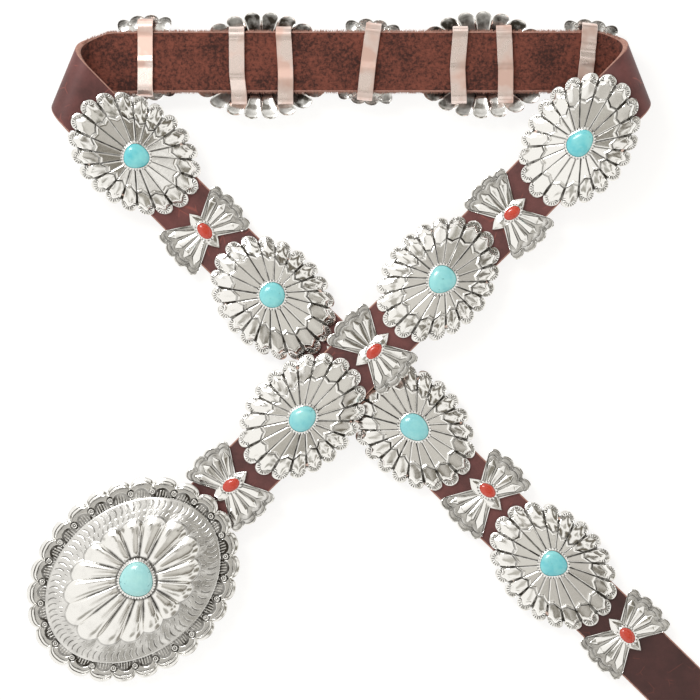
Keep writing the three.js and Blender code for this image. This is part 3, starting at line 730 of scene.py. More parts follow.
def wing(side):
    """One wing as a closed skin: its face from the bezel out to the edge, and its hollow back."""
    near, far = wing_columns()
    count = len(near)
    place = np.minimum(np.arange(count), count - 1 - np.arange(count))
    bead = np.interp(place, [0, 1, 2, 3, 4], [0.0, 0.06, 0.12, 0.17, -0.06])
    channel = np.interp(place, [0, 1, 2, 3, 4, 5], [0.3, 0.0, 0.0, 0.1, 1.0, 0.2])
    rings, shades = [], []
    for t in np.linspace(0, 1, WING_ROWS) ** 0.8:
        plan = near + (far - near) * t
        run = np.linalg.norm(far - near, axis=1) * (1 - t)
        swell = domes(plan[:, 0], plan[:, 1])
        rim = bump(run - 0.35, 0.4)
        swag = bump(run - 2.7, 0.35) * (place > 3)
        level = FIELD + bead + swell + 0.15 * rim - 0.15 * swag
        dark = np.maximum(np.where(place < 4, 0.0, 0.44), 0.9 * swag)
        dark = np.maximum(np.where(rim > 0.4, 0.0, dark), channel * (run > 0.6))
        dark = np.maximum(dark, 0.9 * bump(run - 0.9, 0.25) * (place > 2))
        top = with_height(plan, level)
        lift = 0.05 + 1.6 * swell * np.clip(run / 0.8, 0, 1)
        back = with_height(plan, np.minimum(lift, level - 0.35))[::-1]
        ring = np.vstack([top, back])
        ring[:, :2] *= (side, side)
        rings.append(ring)
        # Painted shade on the hollow back: a dark band near the edge and darker in the domes' hollows
        hollow_shade = 0.3 + 0.6 * bump(run - 0.3, 0.3) + 1.6 * swell
        shades.append(np.concatenate([dark, np.clip(hollow_shade, 0, 1)[::-1]]))
    return Skin(rings, shades).capped()


def wings():
    """Both wings with their pencils."""
    skins = [wing(1), wing(-1)]
    for x, y, tip_x, tip_y in PENCILS:
        for way in (1, -1):
            for side in (1, -1):
                skins.append(pencil((way * x, y), (way * tip_x, tip_y), side))
    for x, y in WING_RINGS:
        for way in (1, -1) if x else (1,):
            skins += [stamp_ring((way * x, y), 0.75, 0.55), stamp_ring((-way * x, -y), 0.75, 0.55)]
    return skins


# A quarter of the leaf's outline, from its tip to its middle
LEAF = ((9.7, 0.0), (8.4, 1.0), (7.0, 2.0), (5.6, 2.75), (4.2, 2.9), (2.0, 2.6), (0.0, 2.4))
LEAF_SIDES = 96


def leaf():
    """The pointed plate along the strap, ridged down its middle, that the bezel sits on."""
    quarter = np.array(LEAF)
    half = np.vstack([quarter, quarter[-2::-1] * (-1, 1)])
    outline = np.vstack([half, half[-2::-1] * (1, -1)])
    share = np.linspace(0, len(outline) - 1, LEAF_SIDES, endpoint=False)
    plan = np.column_stack([np.interp(share, np.arange(len(outline)), column) for column in outline.T])
    rings, shades = [], []
    for scale in (0.3, 0.45, 0.6, 0.7, 0.8, 0.88, 0.94, 0.98, 1.0):
        spot = plan * scale
        reach = np.interp(np.abs(spot[:, 0]), quarter[::-1, 0], quarter[::-1, 1])
        roof = 0.9 + 0.34 * np.clip(reach - np.abs(spot[:, 1]), 0, 2.6)
        rings.append(with_height(spot, roof + 0.1 * (0.9 < scale < 1)))
        # Painted shade round the bezel's foot, and a faint painted dark outline at the leaf's edge
        shades.append(0.55 if scale < 0.5 else 0.2 * (scale == 1))
    under = [with_height(plan, 0.1), with_height(plan * 0.5, 0.1)]
    middle = np.zeros((1, 2))
    return Skin([with_height(middle, 2.0), *rings, *under, with_height(middle, 0.1)],
                [0.5, *shades, 0.2, 0.3, 0.3])


def butterfly_stamps():
    """The rings and ray fans stamped along both wings' edges."""
    table = []
    for side in (1, -1):
        for sign in (1, -1):
            table += [(sign * x, side * y, side * math.pi / 2, 2, 1.3) for x, y in WING_RINGS]
            table += [(sign * x, side * y, math.atan2(side * 17, sign * x), 1, 2.6) for x, y in WING_RAYS]
    return table


# Buckle

# Length and width of the plate, of its dome and of the flower of lobes
BUCKLE_SIZE = (98.0, 79.8)
DOME = (82.0, 61.8)
LOBE_REACH = (65.6, 45.4)
SCALLOPS = 26
SCALLOP_NOTCH = 3.2
LOBES = 16
# Rows of the plate, as shares of the way: over the lobes, and over the border beyond them
LOBE_ROWS = (0, 0.04, 0.1, 0.17, 0.25, 0.33, 0.42, 0.51, 0.6, 0.68, 0.76, 0.83, 0.89, 0.94, 0.98, 1.0)
BORDER_ROWS = (0.03, 0.1, 0.22, 0.36, 0.5, 0.64, 0.77, 0.88, 0.95, 1.0)
# Over a scallop's two bands: depth from its edge, height and darkness
SCALLOP_ROWS = (
    (3.3, 1.15, 0.6), (3.05, 1.15, 1.0), (2.88, 1.15, 1.0), (2.8, 1.42, 0.3), (2.7, 1.47, 0.0),
    (1.92, 1.2, 0.0), (1.8, 1.12, 0.5), (1.7, 1.05, 1.0), (1.5, 1.05, 1.0), (1.44, 1.3, 0.3),
    (1.36, 1.36, 0.0), (0.45, 1.08, 0.0), (0.15, 0.98, 0.2), (0.0, 0.8, 0.6),
)
# Stamps by the rim: offset in scallops, kind, depth from the rim, how far from the dome's edge at
# least, and how far each reaches
SECTOR_AND_RING = ((0.5, 1, 8.1, 0.2, 4.6), (0.0, 2, 6.2, 1.9, 2.2))


def buckle_plate():
    """The plate: sixteen swelling lobes, a stamped border, the dome's edge and the scallops."""
    column = np.arange(SCALLOPS * LOBES)
    lobe = np.tile(crowded(SCALLOPS, 0.75), LOBES)
    lobe_share = (column // SCALLOPS + lobe) / LOBES
    scallop = np.tile(crowded(LOBES, 0.7), SCALLOPS)
    edge_share = (column // LOBES + scallop) / SCALLOPS
    v = np.abs(2 * lobe - 1)
    w = np.abs(2 * scallop - 1)
    hub = stone_edge(BUCKLE_STONE, 2 * math.pi * lobe_share, 1.5)
    tips = oval_points(LOBE_REACH, lobe_share) * (1 - 0.09 * v[:, None] ** 2.2)
    dome, rim = oval_points(DOME, edge_share), oval_points(BUCKLE_SIZE, edge_share)
    notch = SCALLOP_NOTCH * (1 - np.sqrt(np.clip(1 - w ** 2, 0, 1)))
    inward = dome - rim
    band = np.linalg.norm(inward, axis=1)
    inward = inward / band[:, None]
    rows = []

    def row(plan, level, shade):
        rows.append((with_height(plan, level), np.clip(shade, 0, 1)))

    # Lobes, from the bezel out to their round tips, with painted shade at the bezel's foot, in the creases
    # between lobes and as a dark outline at their tips
    for t in LOBE_ROWS:
        base = 6.4 - 1.5 * t ** 1.5
        crest = np.interp(t, [0, 0.1, 0.6, 0.85, 1], [0.4, 0.75, 1.1, 0.9, 0.2])
        swell = (1 - v ** 2.4) ** 0.6
        away = np.linalg.norm(hub + (tips - hub) * t - BUCKLE_STONE[4:], axis=1)
        beside = np.minimum(lobe, 1 - lobe) * 2 * math.pi * away / LOBES
        half = np.interp(t, [0, 0.2, 0.55, 0.8, 1], [0.5, 0.8, 0.8, 0.4, 0.2])
        wedge = np.clip(1.25 * bump(beside, half), 0, 1)
        dark = wedge * np.interp(t, [0, 0.08, 0.5, 0.72, 1], [0.72, 0.76, 0.7, 0.35, 0.15])
        dark = np.maximum(dark, 0.7 * (t < 0.01) + 0.22 + 0.34 * (t > 0.99))
        row(hub + (tips - hub) * t, base + crest * swell, dark)
    # Smooth border down to the dome's edge
    for t in BORDER_ROWS:
        row(tips + (dome - tips) * t, 4.8 - 2.0 * t - 0.3 * t ** 2, 0.42 + 0.22 * (t < 0.05))
    # Painted shade along the foot of the dome's edge
    row(dome - inward * 0.25, 2.1, 0.2)
    row(dome - inward * 0.5, 1.2, 0.6)
    # Scallops: a sunk sector inside two raised bands
    for depth in (0.86, 0.78, 0.7, 0.62, 0.54):
        row(rim + inward * (notch + (band - notch) * depth)[:, None], 1.1 + 0.15 * (1 - depth), 0.3)
    for off, level, shade in SCALLOP_ROWS:
        row(rim + inward * (notch + off * (1 - 0.2 * w))[:, None], level, shade * (1 - 0.3 * w))
    top = [ring for ring, _ in rows]
    edge = top[-1].copy()
    edge[:, 2] = 0.3
    under = [ring - (0, 0, 1.0) for ring in top[-1::-3]]
    under[0][:, 2] = 0.05
    middle = np.array([BUCKLE_STONE[4:]])
    rings = [with_height(middle, 6.9), *top, edge, *under, with_height(middle, 5.5)]
    return Skin(rings, [1.0, *[shade for _, shade in rows], 0.1, *[0.3] * len(under), 0.3])


def buckle_marks():
    """Where sectors and rings are stamped round the buckle's edge."""
    table = []
    for offset, kind, depth, margin, reach in SECTOR_AND_RING:
        shares = (np.arange(SCALLOPS) + offset) / SCALLOPS
        rim = oval_points(BUCKLE_SIZE, shares)
        inward = oval_points(DOME, shares) - rim
        for edge, way, band in zip(rim, inward, np.linalg.norm(inward, axis=1)):
            x, y = edge + way / band * min(depth, band - margin)
            table.append((x, y, math.atan2(-way[1], -way[0]), kind, reach))
    return table


def border_places(skins, marks):
    """Stamps of the buckle: sectors and rings near the edge, and the strokes' turn and depth from
    the dome's edge all over the border."""
    places = stamp_places(skins, marks)
    plate = skins[0]
    half = np.array(DOME) / 2
    start = sum(block.size for block in plate.faces[:len(LOBE_ROWS)])
    for block in plate.faces[len(LOBE_ROWS):len(LOBE_ROWS) + len(BORDER_ROWS)]:
        flat = plate.points[block][:, :, :2] / half
        turn = np.mod(np.arctan2(flat[:, :, 1], flat[:, :, 0]), 2 * math.pi)
        turn = turn - 2 * math.pi * np.round((turn - turn[:, :1]) / (2 * math.pi))
        edge = np.hypot(np.cos(turn) * half[0], np.sin(turn) * half[1])
        inside = (1 - np.hypot(flat[:, :, 0], flat[:, :, 1])) * edge
        chunk = np.dstack([turn, inside, np.full_like(turn, 3.0)]).reshape(-1, 3)
        places[start:start + len(chunk)] = chunk
        start += len(chunk)
    return places


def hook():
    """The hook on the buckle's back: a bent strip of the same copper."""
    path = [(-18.0, 5.0), (-18.0, 2.4), (-18.2, 1.75), (-18.8, 1.4), (-19.6, 1.4), (-30.4, 1.4)]
    section = [(-4.0, 0.6), (4.0, 0.6), (4.0, -0.6), (-4.0, -0.6)]
    return Skin([ring[:, (1, 0, 2)] for ring in strip(path, section, 0.0)])


# Materials

def cells(size, *rest):
    """Settings of a pattern: the width of its cells in millimetres, its detail and its roughness."""
    return {"Scale": 1 / (size * MM), **dict(zip(("Detail", "Roughness"), rest))}


def ends(*limits):
    """Settings of a range: its ends before, and then its ends after if these aren't 0 and 1."""
    return dict(zip(("From Min", "From Max", "To Min", "To Max"), limits))


def tones(*pair):
    """Settings of a mix of two colours, each a hex colour or a socket."""
    first, second = (srgb(tone) if isinstance(tone, str) else tone for tone in pair)
    return {"data_type": "RGBA", 6: first, 7: second}


def wire(node, settings, operands=()):
    """Sets a node's properties and inputs, and links each input that is given a socket."""
    for name, value in (*settings.items(), *enumerate(operands)):
        if isinstance(value, bpy.types.NodeSocket):
            node.id_data.links.new(value, node.inputs[name])
        elif isinstance(name, int) or name in node.inputs:
            node.inputs[name].default_value = value
        else:
            setattr(node, name, value)


def add(tree, kind, settings, *operands, out=0):
    """Adds one node and gives one of its outputs. Its settings are a table, or its operation's name
    alone, and the operands fill its inputs from the first on."""
    made = tree.nodes.new(f"ShaderNode{kind}")
    wire(made, {"operation": settings} if isinstance(settings, str) else settings, operands)
    return made.outputs[out]


def material(name):
    """A named material with its node tree, its surface shader and the object's own coordinates."""
    made = bpy.data.materials.new(name)
    made.use_nodes = True
    tree = made.node_tree
    return made, tree, tree.nodes["Principled BSDF"], add(tree, "TexCoord", {}, out="Object")


def within(tree, value, low, high, soft):
    """1 where a value lies between two limits, with soft ends."""
    rise = add(tree, "MapRange", ends(low - soft, low + soft), value)
    fall = add(tree, "MapRange", ends(high + soft, high - soft), value)
    return add(tree, "Math", "MULTIPLY", rise, fall)


def stamp_parts(tree):
    """Across, along, distance, turn and kind of the nearest stamp, as sockets."""
    stamp = add(tree, "Attribute", {"attribute_name": "stamp"}, out="Vector")
    x, y, kind = add(tree, "SeparateXYZ", {}, stamp).node.outputs
    squares = [add(tree, "Math", "MULTIPLY", part, part) for part in (x, y)]
    reach = add(tree, "Math", "SQRT", add(tree, "Math", "ADD", *squares))
    return x, y, reach, add(tree, "Math", "ARCTAN2", x, y), kind


def on_stamp(tree, kind, wanted, mark):
    """A mark, on stamps of one kind alone."""
    same = add(tree, "Math", "COMPARE", kind, wanted, 0.4)
    return add(tree, "Math", "MULTIPLY", same, mark)


# Lines of a sunray and of a wing's ray fan in a full turn. Real ones stand about half as far apart,
# too fine to show, so they are drawn coarser. The border's strokes are as many as real ones.
SUNRAYS = 16.0
WING_FAN_RAYS = 9.0
STROKES = 80.0


def ray_fan(tree, parts, rays, inner, outer, share):
    """Short stamped lines fanned round a middle, which fill a share of the full turn."""
    _, _, reach, turn, _ = parts
    wave = add(tree, "Math", "COSINE", add(tree, "Math", "MULTIPLY", turn, rays))
    line = add(tree, "MapRange", ends(0.0, 0.7), wave)
    ring = within(tree, reach, inner, outer, 0.1)
    front = within(tree, add(tree, "Math", "ABSOLUTE", turn), -1.0, share * math.pi, 0.08)
    return add(tree, "Math", "MULTIPLY", add(tree, "Math", "MULTIPLY", line, ring), front)


def concho_cuts(tree):
    parts = stamp_parts(tree)
    return on_stamp(tree, parts[4], 1.0, ray_fan(tree, parts, SUNRAYS, 1.75, 2.95, 0.56))


def butterfly_cuts(tree):
    parts = stamp_parts(tree)
    rays = on_stamp(tree, parts[4], 1.0, ray_fan(tree, parts, WING_FAN_RAYS, 0.5, 2.2, 0.5))
    ring = on_stamp(tree, parts[4], 2.0, within(tree, parts[2], 0.6, 1.0, 0.1))
    return add(tree, "Math", "MAXIMUM", rays, ring)


def strokes(tree, parts, low, high, bend, lean, thick):
    """A row of short strokes along the buckle's border, curved by bend and slanted by lean."""
    turn, inside, _, _, _ = parts
    off = add(tree, "Math", "SUBTRACT", inside, (low + high) / 2)
    slant = add(tree, "Math", "MULTIPLY", off, lean)
    curve = add(tree, "Math", "MULTIPLY", add(tree, "Math", "MULTIPLY", off, off), bend)
    cell = add(tree, "Math", "FRACT", add(tree, "Math", "MULTIPLY", turn, STROKES / (2 * math.pi)))
    middle = add(tree, "Math", "ADD", add(tree, "Math", "ADD", curve, slant), 0.5)
    place = add(tree, "Math", "SUBTRACT", cell, middle)
    line = within(tree, add(tree, "Math", "ABSOLUTE", place), -1.0, thick, 0.06)
    return add(tree, "Math", "MULTIPLY", line, within(tree, inside, low, high, 0.2))


def buckle_cuts(tree):
    """Dark sectors with bright bars, unevenly dark, a halo round each ring and the border's strokes."""
    parts = stamp_parts(tree)
    across, _, reach, _, kind = parts
    wave = add(tree, "Math", "COSINE", add(tree, "Math", "MULTIPLY", across, 5.3))
    lines, length = within(tree, wave, 0.1, 2.0, 0.2), within(tree, reach, 0.3, 2.5, 0.15)
    ground = add(tree, "Math", "MULTIPLY_ADD", add(tree, "Math", "MULTIPLY", lines, length), -0.85, 1.0)
    sector = add(tree, "Math", "MULTIPLY", within(tree, reach, -1.0, 3.7, 0.12), ground)
    patchy = add(tree, "TexNoise", cells(11.111, 1.0), add(tree, "TexCoord", {}, out="Object"))
    depth = add(tree, "MapRange", ends(0.38, 0.5, 0.72, 1.0), patchy)
    fan = on_stamp(tree, kind, 1.0, add(tree, "Math", "MULTIPLY", sector, depth))
    halo = on_stamp(tree, kind, 2.0, within(tree, reach, 1.3, 1.8, 0.12))
    crescents = strokes(tree, parts, 1.2, 5.2, 0.07, 0.0, 0.13)
    ticks = strokes(tree, parts, 6.2, 7.9, 0.0, 0.2, 0.1)
    faint = add(tree, "Math", "MULTIPLY", add(tree, "Math", "MAXIMUM", crescents, ticks), 0.8)
    edge = add(tree, "Math", "MAXIMUM", fan, halo)
    return add(tree, "Math", "MAXIMUM", edge, on_stamp(tree, kind, 3.0, faint))


def stamped_silver(name, cuts, darkest):
    """Sterling silver, rolled, stamped and hand polished: bright, with a faint warm cast, fine wear
    scratches, and black oxide left in the stamped grooves. Each point's darkness is partly this oxide and
    partly painted shade in hollows, between parts and at the foot of steps."""
    made, tree, shader, place = material(name)
    # Oxide and painted shade, as the pieces carry them
    groove_and_shade = add(tree, "Attribute", {"attribute_name": "oxide_shade_and_paleness"}, out="Fac")
    cut = cuts(tree)
    dark = add(tree, "Math", "MAXIMUM", groove_and_shade, add(tree, "Math", "MULTIPLY", cut, darkest))
    patchy = add(tree, "TexNoise", cells(3.846, 4.0, 0.6), place)
    oxide_and_shade = add(tree, "Math", "MULTIPLY", dark, add(tree, "MapRange", ends(0.3, 0.7, 0.65, 1.15), patchy))
    sharp = add(tree, "MapRange", ends(0.2, 0.95), oxide_and_shade)
    # Polishing scratches, drawn coarser than real ones so that they show
    wear = add(tree, "TexNoise", cells(1.111, 5.0, 0.7), place)
    rough = add(tree, "MapRange", ends(0.3, 0.75, 0.09, 0.18), wear)
    # Hammer dents of about 3 mm
    dents = add(tree, "TexNoise", cells(3.0303, 2.0), place)
    relief = add(tree, "Bump", {"Strength": 0.05, "Distance": 0.2 * MM, "Height": dents})
    wire(shader, {
        "Base Color": add(tree, "Mix", tones("#F6F5F2", "#3E3A34"), sharp, out=2),
        "Metallic": 1.0,
        "Roughness": add(tree, "Mix", {"data_type": "FLOAT", 2: rough, 3: 0.5}, sharp),
        "Normal": add(tree, "Bump", {"Strength": 0.8, "Distance": 0.15 * MM, "invert": True,
                                     "Height": cut, "Normal": relief}),
    })
    return made


def bright_copper():
    """Rolled copper strip, bent by hand: pale pink metal, softly clouded, with faint rolling marks."""
    made, tree, shader, place = material("bright_copper_strip")
    cloud = add(tree, "MapRange", ends(0.42, 0.6), add(tree, "TexNoise", cells(13.333, 3.0), place))
    # Rolling marks, drawn coarser than real ones so that they show
    marks = add(tree, "TexNoise", cells(2.0, 3.0), place)
    wire(shader, {
        "Base Color": add(tree, "Mix", tones("#FBEAE3", "#DFBEB1"), cloud, out=2),
        "Metallic": 1.0,
        "Roughness": add(tree, "MapRange", ends(0.0, 1.0, 0.26, 0.4), cloud),
        "Normal": add(tree, "Bump", {"Strength": 0.08, "Distance": 0.2 * MM, "Height": marks}),
    })
    return made


def polished_turquoise():
    """Polished blue turquoise: an even sky blue, a little cloudy, with a few dark matrix specks."""
    made, tree, shader, place = material("polished_turquoise")
    cloud = add(tree, "MapRange", ends(0.36, 0.66), add(tree, "TexNoise", cells(7.692, 3.0, 0.55), place))
    blue = add(tree, "Mix", tones("#4FBFCC", "#87D9DB"), cloud, out=2)
    pale = add(tree, "Attribute", {"attribute_name": "oxide_shade_and_paleness"}, out="Fac")
    body = add(tree, "Mix", tones(blue, "#BFE7E3"), pale, out=2)
    speck = add(tree, "MapRange", ends(0.64, 0.72), add(tree, "TexNoise", cells(2.381, 5.0, 0.65), place))
    wire(shader, {
        "Base Color": add(tree, "Mix", tones(body, "#3E7F86"), speck, out=2),
        "Roughness": 0.22, "IOR": 1.61, "Coat Weight": 0.4, "Coat Roughness": 0.08,
    })
    return made


def polished_coral():
    """Polished red coral: saturated orange red with a faint mottle."""
    made, tree, shader, place = material("polished_coral")
    cloud = add(tree, "TexNoise", cells(3.3333, 3.0), place)
    wire(shader, {
        "Base Color": add(tree, "Mix", tones("#B02C18", "#D1452C"), cloud, out=2),
        "Roughness": 0.2, "IOR": 1.6, "Coat Weight": 0.4, "Coat Roughness": 0.08,
    })
    return made


def grain_leather():
    """Vegetable tanned strap, dyed oxblood brown: smooth grain with fine pores and light scuffs, darker
    towards its free end."""
    made, tree, shader, place = material("oxblood_grain_leather")
    cloud = add(tree, "MapRange", ends(0.34, 0.66), add(tree, "TexNoise", cells(22.222, 8.0, 0.7), place))
    brown = add(tree, "Mix", tones("#4B2927", "#74423F"), cloud, out=2)
    cracks = add(tree, "TexVoronoi", {**cells(7.692), "feature": "DISTANCE_TO_EDGE"}, place)
    near = add(tree, "MapRange", ends(0.035, 0.01, 0.0, 0.45), cracks)
    some = add(tree, "MapRange", ends(0.56, 0.62), add(tree, "TexNoise", cells(9.091, 2.0), place))
    scuff = add(tree, "Math", "MULTIPLY", near, some)
    scuffed = add(tree, "Mix", tones(brown, "#A4574B"), scuff, out=2)
    x, y, _ = add(tree, "SeparateXYZ", {}, place).node.outputs
    # Darker towards the strap's free end
    darker_to_free_end = add(tree, "MapRange", ends(0.15, 0.2, 0.0, 0.62), add(tree, "Math", "SUBTRACT", x, y))
    # Pores, drawn a few times as coarse as real ones so that they show
    pores = add(tree, "TexVoronoi", cells(0.625), place)
    wire(shader, {
        "Base Color": add(tree, "Mix", tones(scuffed, "#24110F"), darker_to_free_end, out=2),
        "Roughness": 0.5,
        "Normal": add(tree, "Bump", {"Strength": 0.25, "Distance": 0.12 * MM, "Height": pores}),
    })
    return made


def flesh_leather():
    """The flesh side of the same leather: a rusty brown nap of short fibres, matt and blotchy."""
    made, tree, shader, place = material("rusty_napped_leather")
    # Tufts of the nap, drawn coarser than real ones so that they show
    nap = add(tree, "TexNoise", cells(1.6129, 6.0, 0.8), place)
    cloud = add(tree, "Math", "MULTIPLY", add(tree, "TexNoise", cells(14.286, 5.0, 0.6), place), 0.5)
    share = add(tree, "MapRange", ends(0.73, 0.97), add(tree, "Math", "MULTIPLY_ADD", nap, 1.2, cloud))
    wire(shader, {
        "Base Color": add(tree, "Mix", tones("#32150E", "#7B4132"), share, out=2),
        "Roughness": 0.92, "Sheen Weight": 0.08,
        "Normal": add(tree, "Bump", {"Strength": 0.8, "Distance": 0.4 * MM, "Height": nap}),
    })
    return made


def cut_edge():
    """The strap's cut edge: undyed fibre showing pinkish tan, rough."""
    made, tree, shader, place = material("cut_leather_edge")
    # Bundles of fibre, drawn coarser than real ones so that they show
    fibre = add(tree, "TexNoise", cells(0.8333, 4.0), place)
    wire(shader, {
        "Base Color": add(tree, "Mix", tones("#7A4E43", "#CDA191"), fibre, out=2),
        "Roughness": 0.85,
        "Normal": add(tree, "Bump", {"Strength": 0.6, "Distance": 0.3 * MM, "Height": fibre}),
    })
    return made


CONCHO_SILVER = stamped_silver("stamped_silver_with_sunrays", concho_cuts, 0.95)
BUTTERFLY_SILVER = stamped_silver("stamped_silver_with_rings", butterfly_cuts, 0.8)
BUCKLE_SILVER = stamped_silver("stamped_silver_with_crescents", buckle_cuts, 1.0)
COPPER = bright_copper()
TURQUOISE = polished_turquoise()
CORAL_RED = polished_coral()
LEATHER_SIDES = [grain_leather(), flesh_leather(), cut_edge()]


# The strap

# Loose fibres along the napped side's edges, thicker than real ones so that they show
FIBRES = 5000
# Rounding of the cut edges, points across a side, and the material of each side
EDGE_ROUNDING = 0.55
ACROSS = 11
GRAIN_SIDE, FLESH_SIDE, CUT_EDGE = 0, 1, 2


def strap():
    """The strap as one closed skin: grain, cut edges and napped flesh side."""
    parts = [
        run_sections(BUCKLE_RUN, None, ON_RIGHT, 1),
        right_fold,
        run_sections(BACK_RUN, OFF_RIGHT, ON_LEFT, -1),
        left_fold,
        run_sections(FREE_RUN, OFF_LEFT, None, 1),
    ]
    fields = np.hstack([np.vstack(group) for group in zip(*parts)])
    reach = np.concatenate([[0], np.cumsum(np.linalg.norm(np.diff(fields[:, :3], axis=0), axis=1))])
    even = np.linspace(0, reach[-1], int(reach[-1] / 1.6))
    fine = np.column_stack([np.interp(even, reach, column) for column in fields.T])
    for _ in range(4):
        fine[1:-1] = (fine[:-2] + 2 * fine[1:-1] + fine[2:]) / 4
    middle, half, normal = fine[:, :3], fine[:, 3:6], fine[:, 6:]
    normal = normal / np.linalg.norm(normal, axis=1)[:, None]
    soft = EDGE_ROUNDING / (STRAP_WIDTH / 2)
    level = LEATHER / 2 - EDGE_ROUNDING
    arc = np.radians([20, 45, 70])
    section = [(v, LEATHER / 2) for v in np.linspace(1 - soft, soft - 1, ACROSS)]
    section += [(soft - 1 - soft * math.sin(a), level + EDGE_ROUNDING * math.cos(a)) for a in arc]
    section += [(soft - 1 - soft * math.cos(a), -level - EDGE_ROUNDING * math.sin(a)) for a in arc]
    place = np.array(section)
    place = np.vstack([place, -place])
    rings = [m + np.outer(place[:, 0], h) + np.outer(place[:, 1], n)
             for m, h, n in zip(middle, half, normal)]
    kind = np.full(len(place), CUT_EDGE)
    kind[:ACROSS - 1] = GRAIN_SIDE
    kind[len(section):len(section) + ACROSS - 1] = FLESH_SIDE
    cap = np.full(len(place), CUT_EDGE)
    slots = np.concatenate([cap, np.tile(kind, len(rings) - 1), cap])
    flat = (np.zeros(3), np.eye(3))
    skin = Skin([middle[:1], *rings, middle[-1:]])
    make_piece("leather_strap", [skin], flat, LEATHER_SIDES, "strap", face_slots=slots, sharp=60)
    make_piece("leather_fibres", fibres(middle, half, normal), flat, [LEATHER_SIDES[CUT_EDGE]])


def fibres(middle, half, normal):
    """Loose fibres along both cut edges, wherever the napped side looks up."""
    hand = np.random.default_rng(5)
    up = np.flatnonzero(normal[:, 2] < -0.3)
    skins = []
    for _ in range(FIBRES):
        k, side = hand.choice(up), hand.choice((-1, 1))
        share = hand.uniform(0, 1)
        root = middle[k] + (middle[min(k + 1, len(middle) - 1)] - middle[k]) * share
        out = unit(half[k]) * side
        ahead = np.cross(out, normal[k])
        root = root + half[k] * side - out * 0.3 + normal[k] * hand.uniform(-1.1, 0.3)
        tip = root + out * hand.uniform(0.6, 1.5) + ahead * hand.uniform(-0.6, 0.6)
        tip = tip - normal[k] * hand.uniform(-0.2, 0.5)
        thick = hand.uniform(0.14, 0.26)
        lean = 0.87 * normal[k]
        ring = root + thick * np.array([ahead, lean - 0.5 * ahead, -lean - 0.5 * ahead])
        skins.append(Skin([root[None], ring, tip[None]]))
    return skins


def turned(skin, degrees):
    """The skin turned about its seat's own axis."""
    c, s = math.cos(math.radians(degrees)), math.sin(math.radians(degrees))
    skin.points = skin.points @ np.array([[c, s, 0], [-s, c, 0], [0, 0, 1]])
    return skin


# Bends of the copper loops: place across the strap, stand-off and shift along it
PLAIN_BENDS = (
    ((-16, -0.2, 0), (-11.5, -0.2, 0), (-1.5, 0.04, 0.2), (1, -0.2, 0.2), (12, 0, 0), (16, -0.2, 0)),
    ((-16, -0.2, 0.3), (-12, 0, 0.2), (0, -0.2, -0.2), (3, 0.04, 0), (11, -0.2, 0.2), (16, -0.2, 0.3)),
)
SEEN_BENDS = {
    "butterfly_back_3": (
        ((-16, 0.0, 0.0), (-13.2, 0.35, 0.0), (-9.5, 0.0, 0.0), (0.0, 0.1, 0.0), (1.2, 0.45, 0.0),
         (3.6, 0.1, 0.0), (12.5, 0.35, 0.0), (16, 0.0, 0.0)),
    ),
    "concho_back_2": (
        ((-16, 0.0, -0.3), (-12.2, 0.35, -0.3), (-10.8, 0.0, -0.3), (3.6, 0.35, -0.2), (5.4, 0.05, 0.0),
         (11.6, 0.4, 0.7), (16, 0.0, 0.9)),
        ((-16, 0.0, -0.6), (-12.4, 0.3, -0.6), (-10.8, 0.0, -0.4), (1.4, 0.15, 0.3), (6.0, 0.45, 0.4),
         (12.0, 0.1, 0.3), (16, 0.0, 0.3)),
    ),
    "butterfly_back_2": (
        ((-16, 0.0, 0.4), (-12.4, 0.4, 0.3), (-11.4, 0.0, 0.2), (0.6, 0.1, -0.2), (2.4, 0.4, -0.2),
         (12.0, 0.35, -0.2), (16, 0.0, -0.2)),
    ),
    "concho_back_1": (
        ((-16, 0.0, 0.9), (-13.6, 0.35, 0.9), (-11.8, 0.05, 0.7), (-1.0, 0.3, -0.4), (1.4, 0.0, -0.6),
         (12.6, 0.4, -0.3), (16, 0.0, -0.2)),
        ((-16, 0.0, -0.8), (-12.6, 0.4, -0.8), (-11.4, 0.05, -0.7), (0.4, 0.4, -0.4), (1.6, 0.0, -0.3),
         (13.2, 0.4, -0.6), (16, 0.0, -0.6)),
    ),
    "butterfly_back_1": (
        ((-16, 0.0, -1.2), (-9.8, 0.2, -1.0), (-8.0, 0.5, -0.9), (-5.0, -0.1, -0.9), (-0.6, 0.5, -0.8),
         (2.0, 0.1, -0.8), (16, 0.0, -0.6)),
    ),
}
# The seen bends are this much deeper than their table says, so that they show
BEND_DEPTH = 1.8


def bends_of(piece, index):
    """The bends of a piece's loops: its own where the photograph shows them."""
    seen = SEEN_BENDS.get(piece, ())
    sharper = [[(place, dip * BEND_DEPTH, shift) for place, dip, shift in bends] for bends in seen]
    return sharper or (PLAIN_BENDS[index % 2], PLAIN_BENDS[(index + 1) % 2])


def concho(index, name, row):
    """A concho with its bezel, its two loops and its turquoise."""
    x, y, turn, skew, length, petals, stone = row
    run = name.split("_")[0]
    seat = seat_on(run, x, y, turn)
    node = f"concho_{name}"
    plate = concho_plate(length, petals, stone, index, BRIGHT_WAY[run] - turn)
    silver = [plate, bezel(stone, 4.2, 6.85, 0.98)]
    stamps = stamp_places(silver, concho_stamps(length, petals[0], stone))
    make_piece(f"concho_plate_{name}", silver, seat, [CONCHO_SILVER], node, stamps, sharp=38)
    loops = [turned(copper_loop(place, 1.4, bends), skew)
             for place, bends in zip((-LOOP_OFFSET, LOOP_OFFSET), bends_of(node, index))]
    make_piece(f"concho_loops_{name}", loops, seat, [COPPER], node, sharp=30)
    gem = cabochon(stone, 4.7, 6.1, 8.5, PALE.get(name, 0.0))
    node = f"turquoise_{name}"
    make_piece(f"turquoise_stone_{name}", [gem], seat, [TURQUOISE], node, sharp=80)


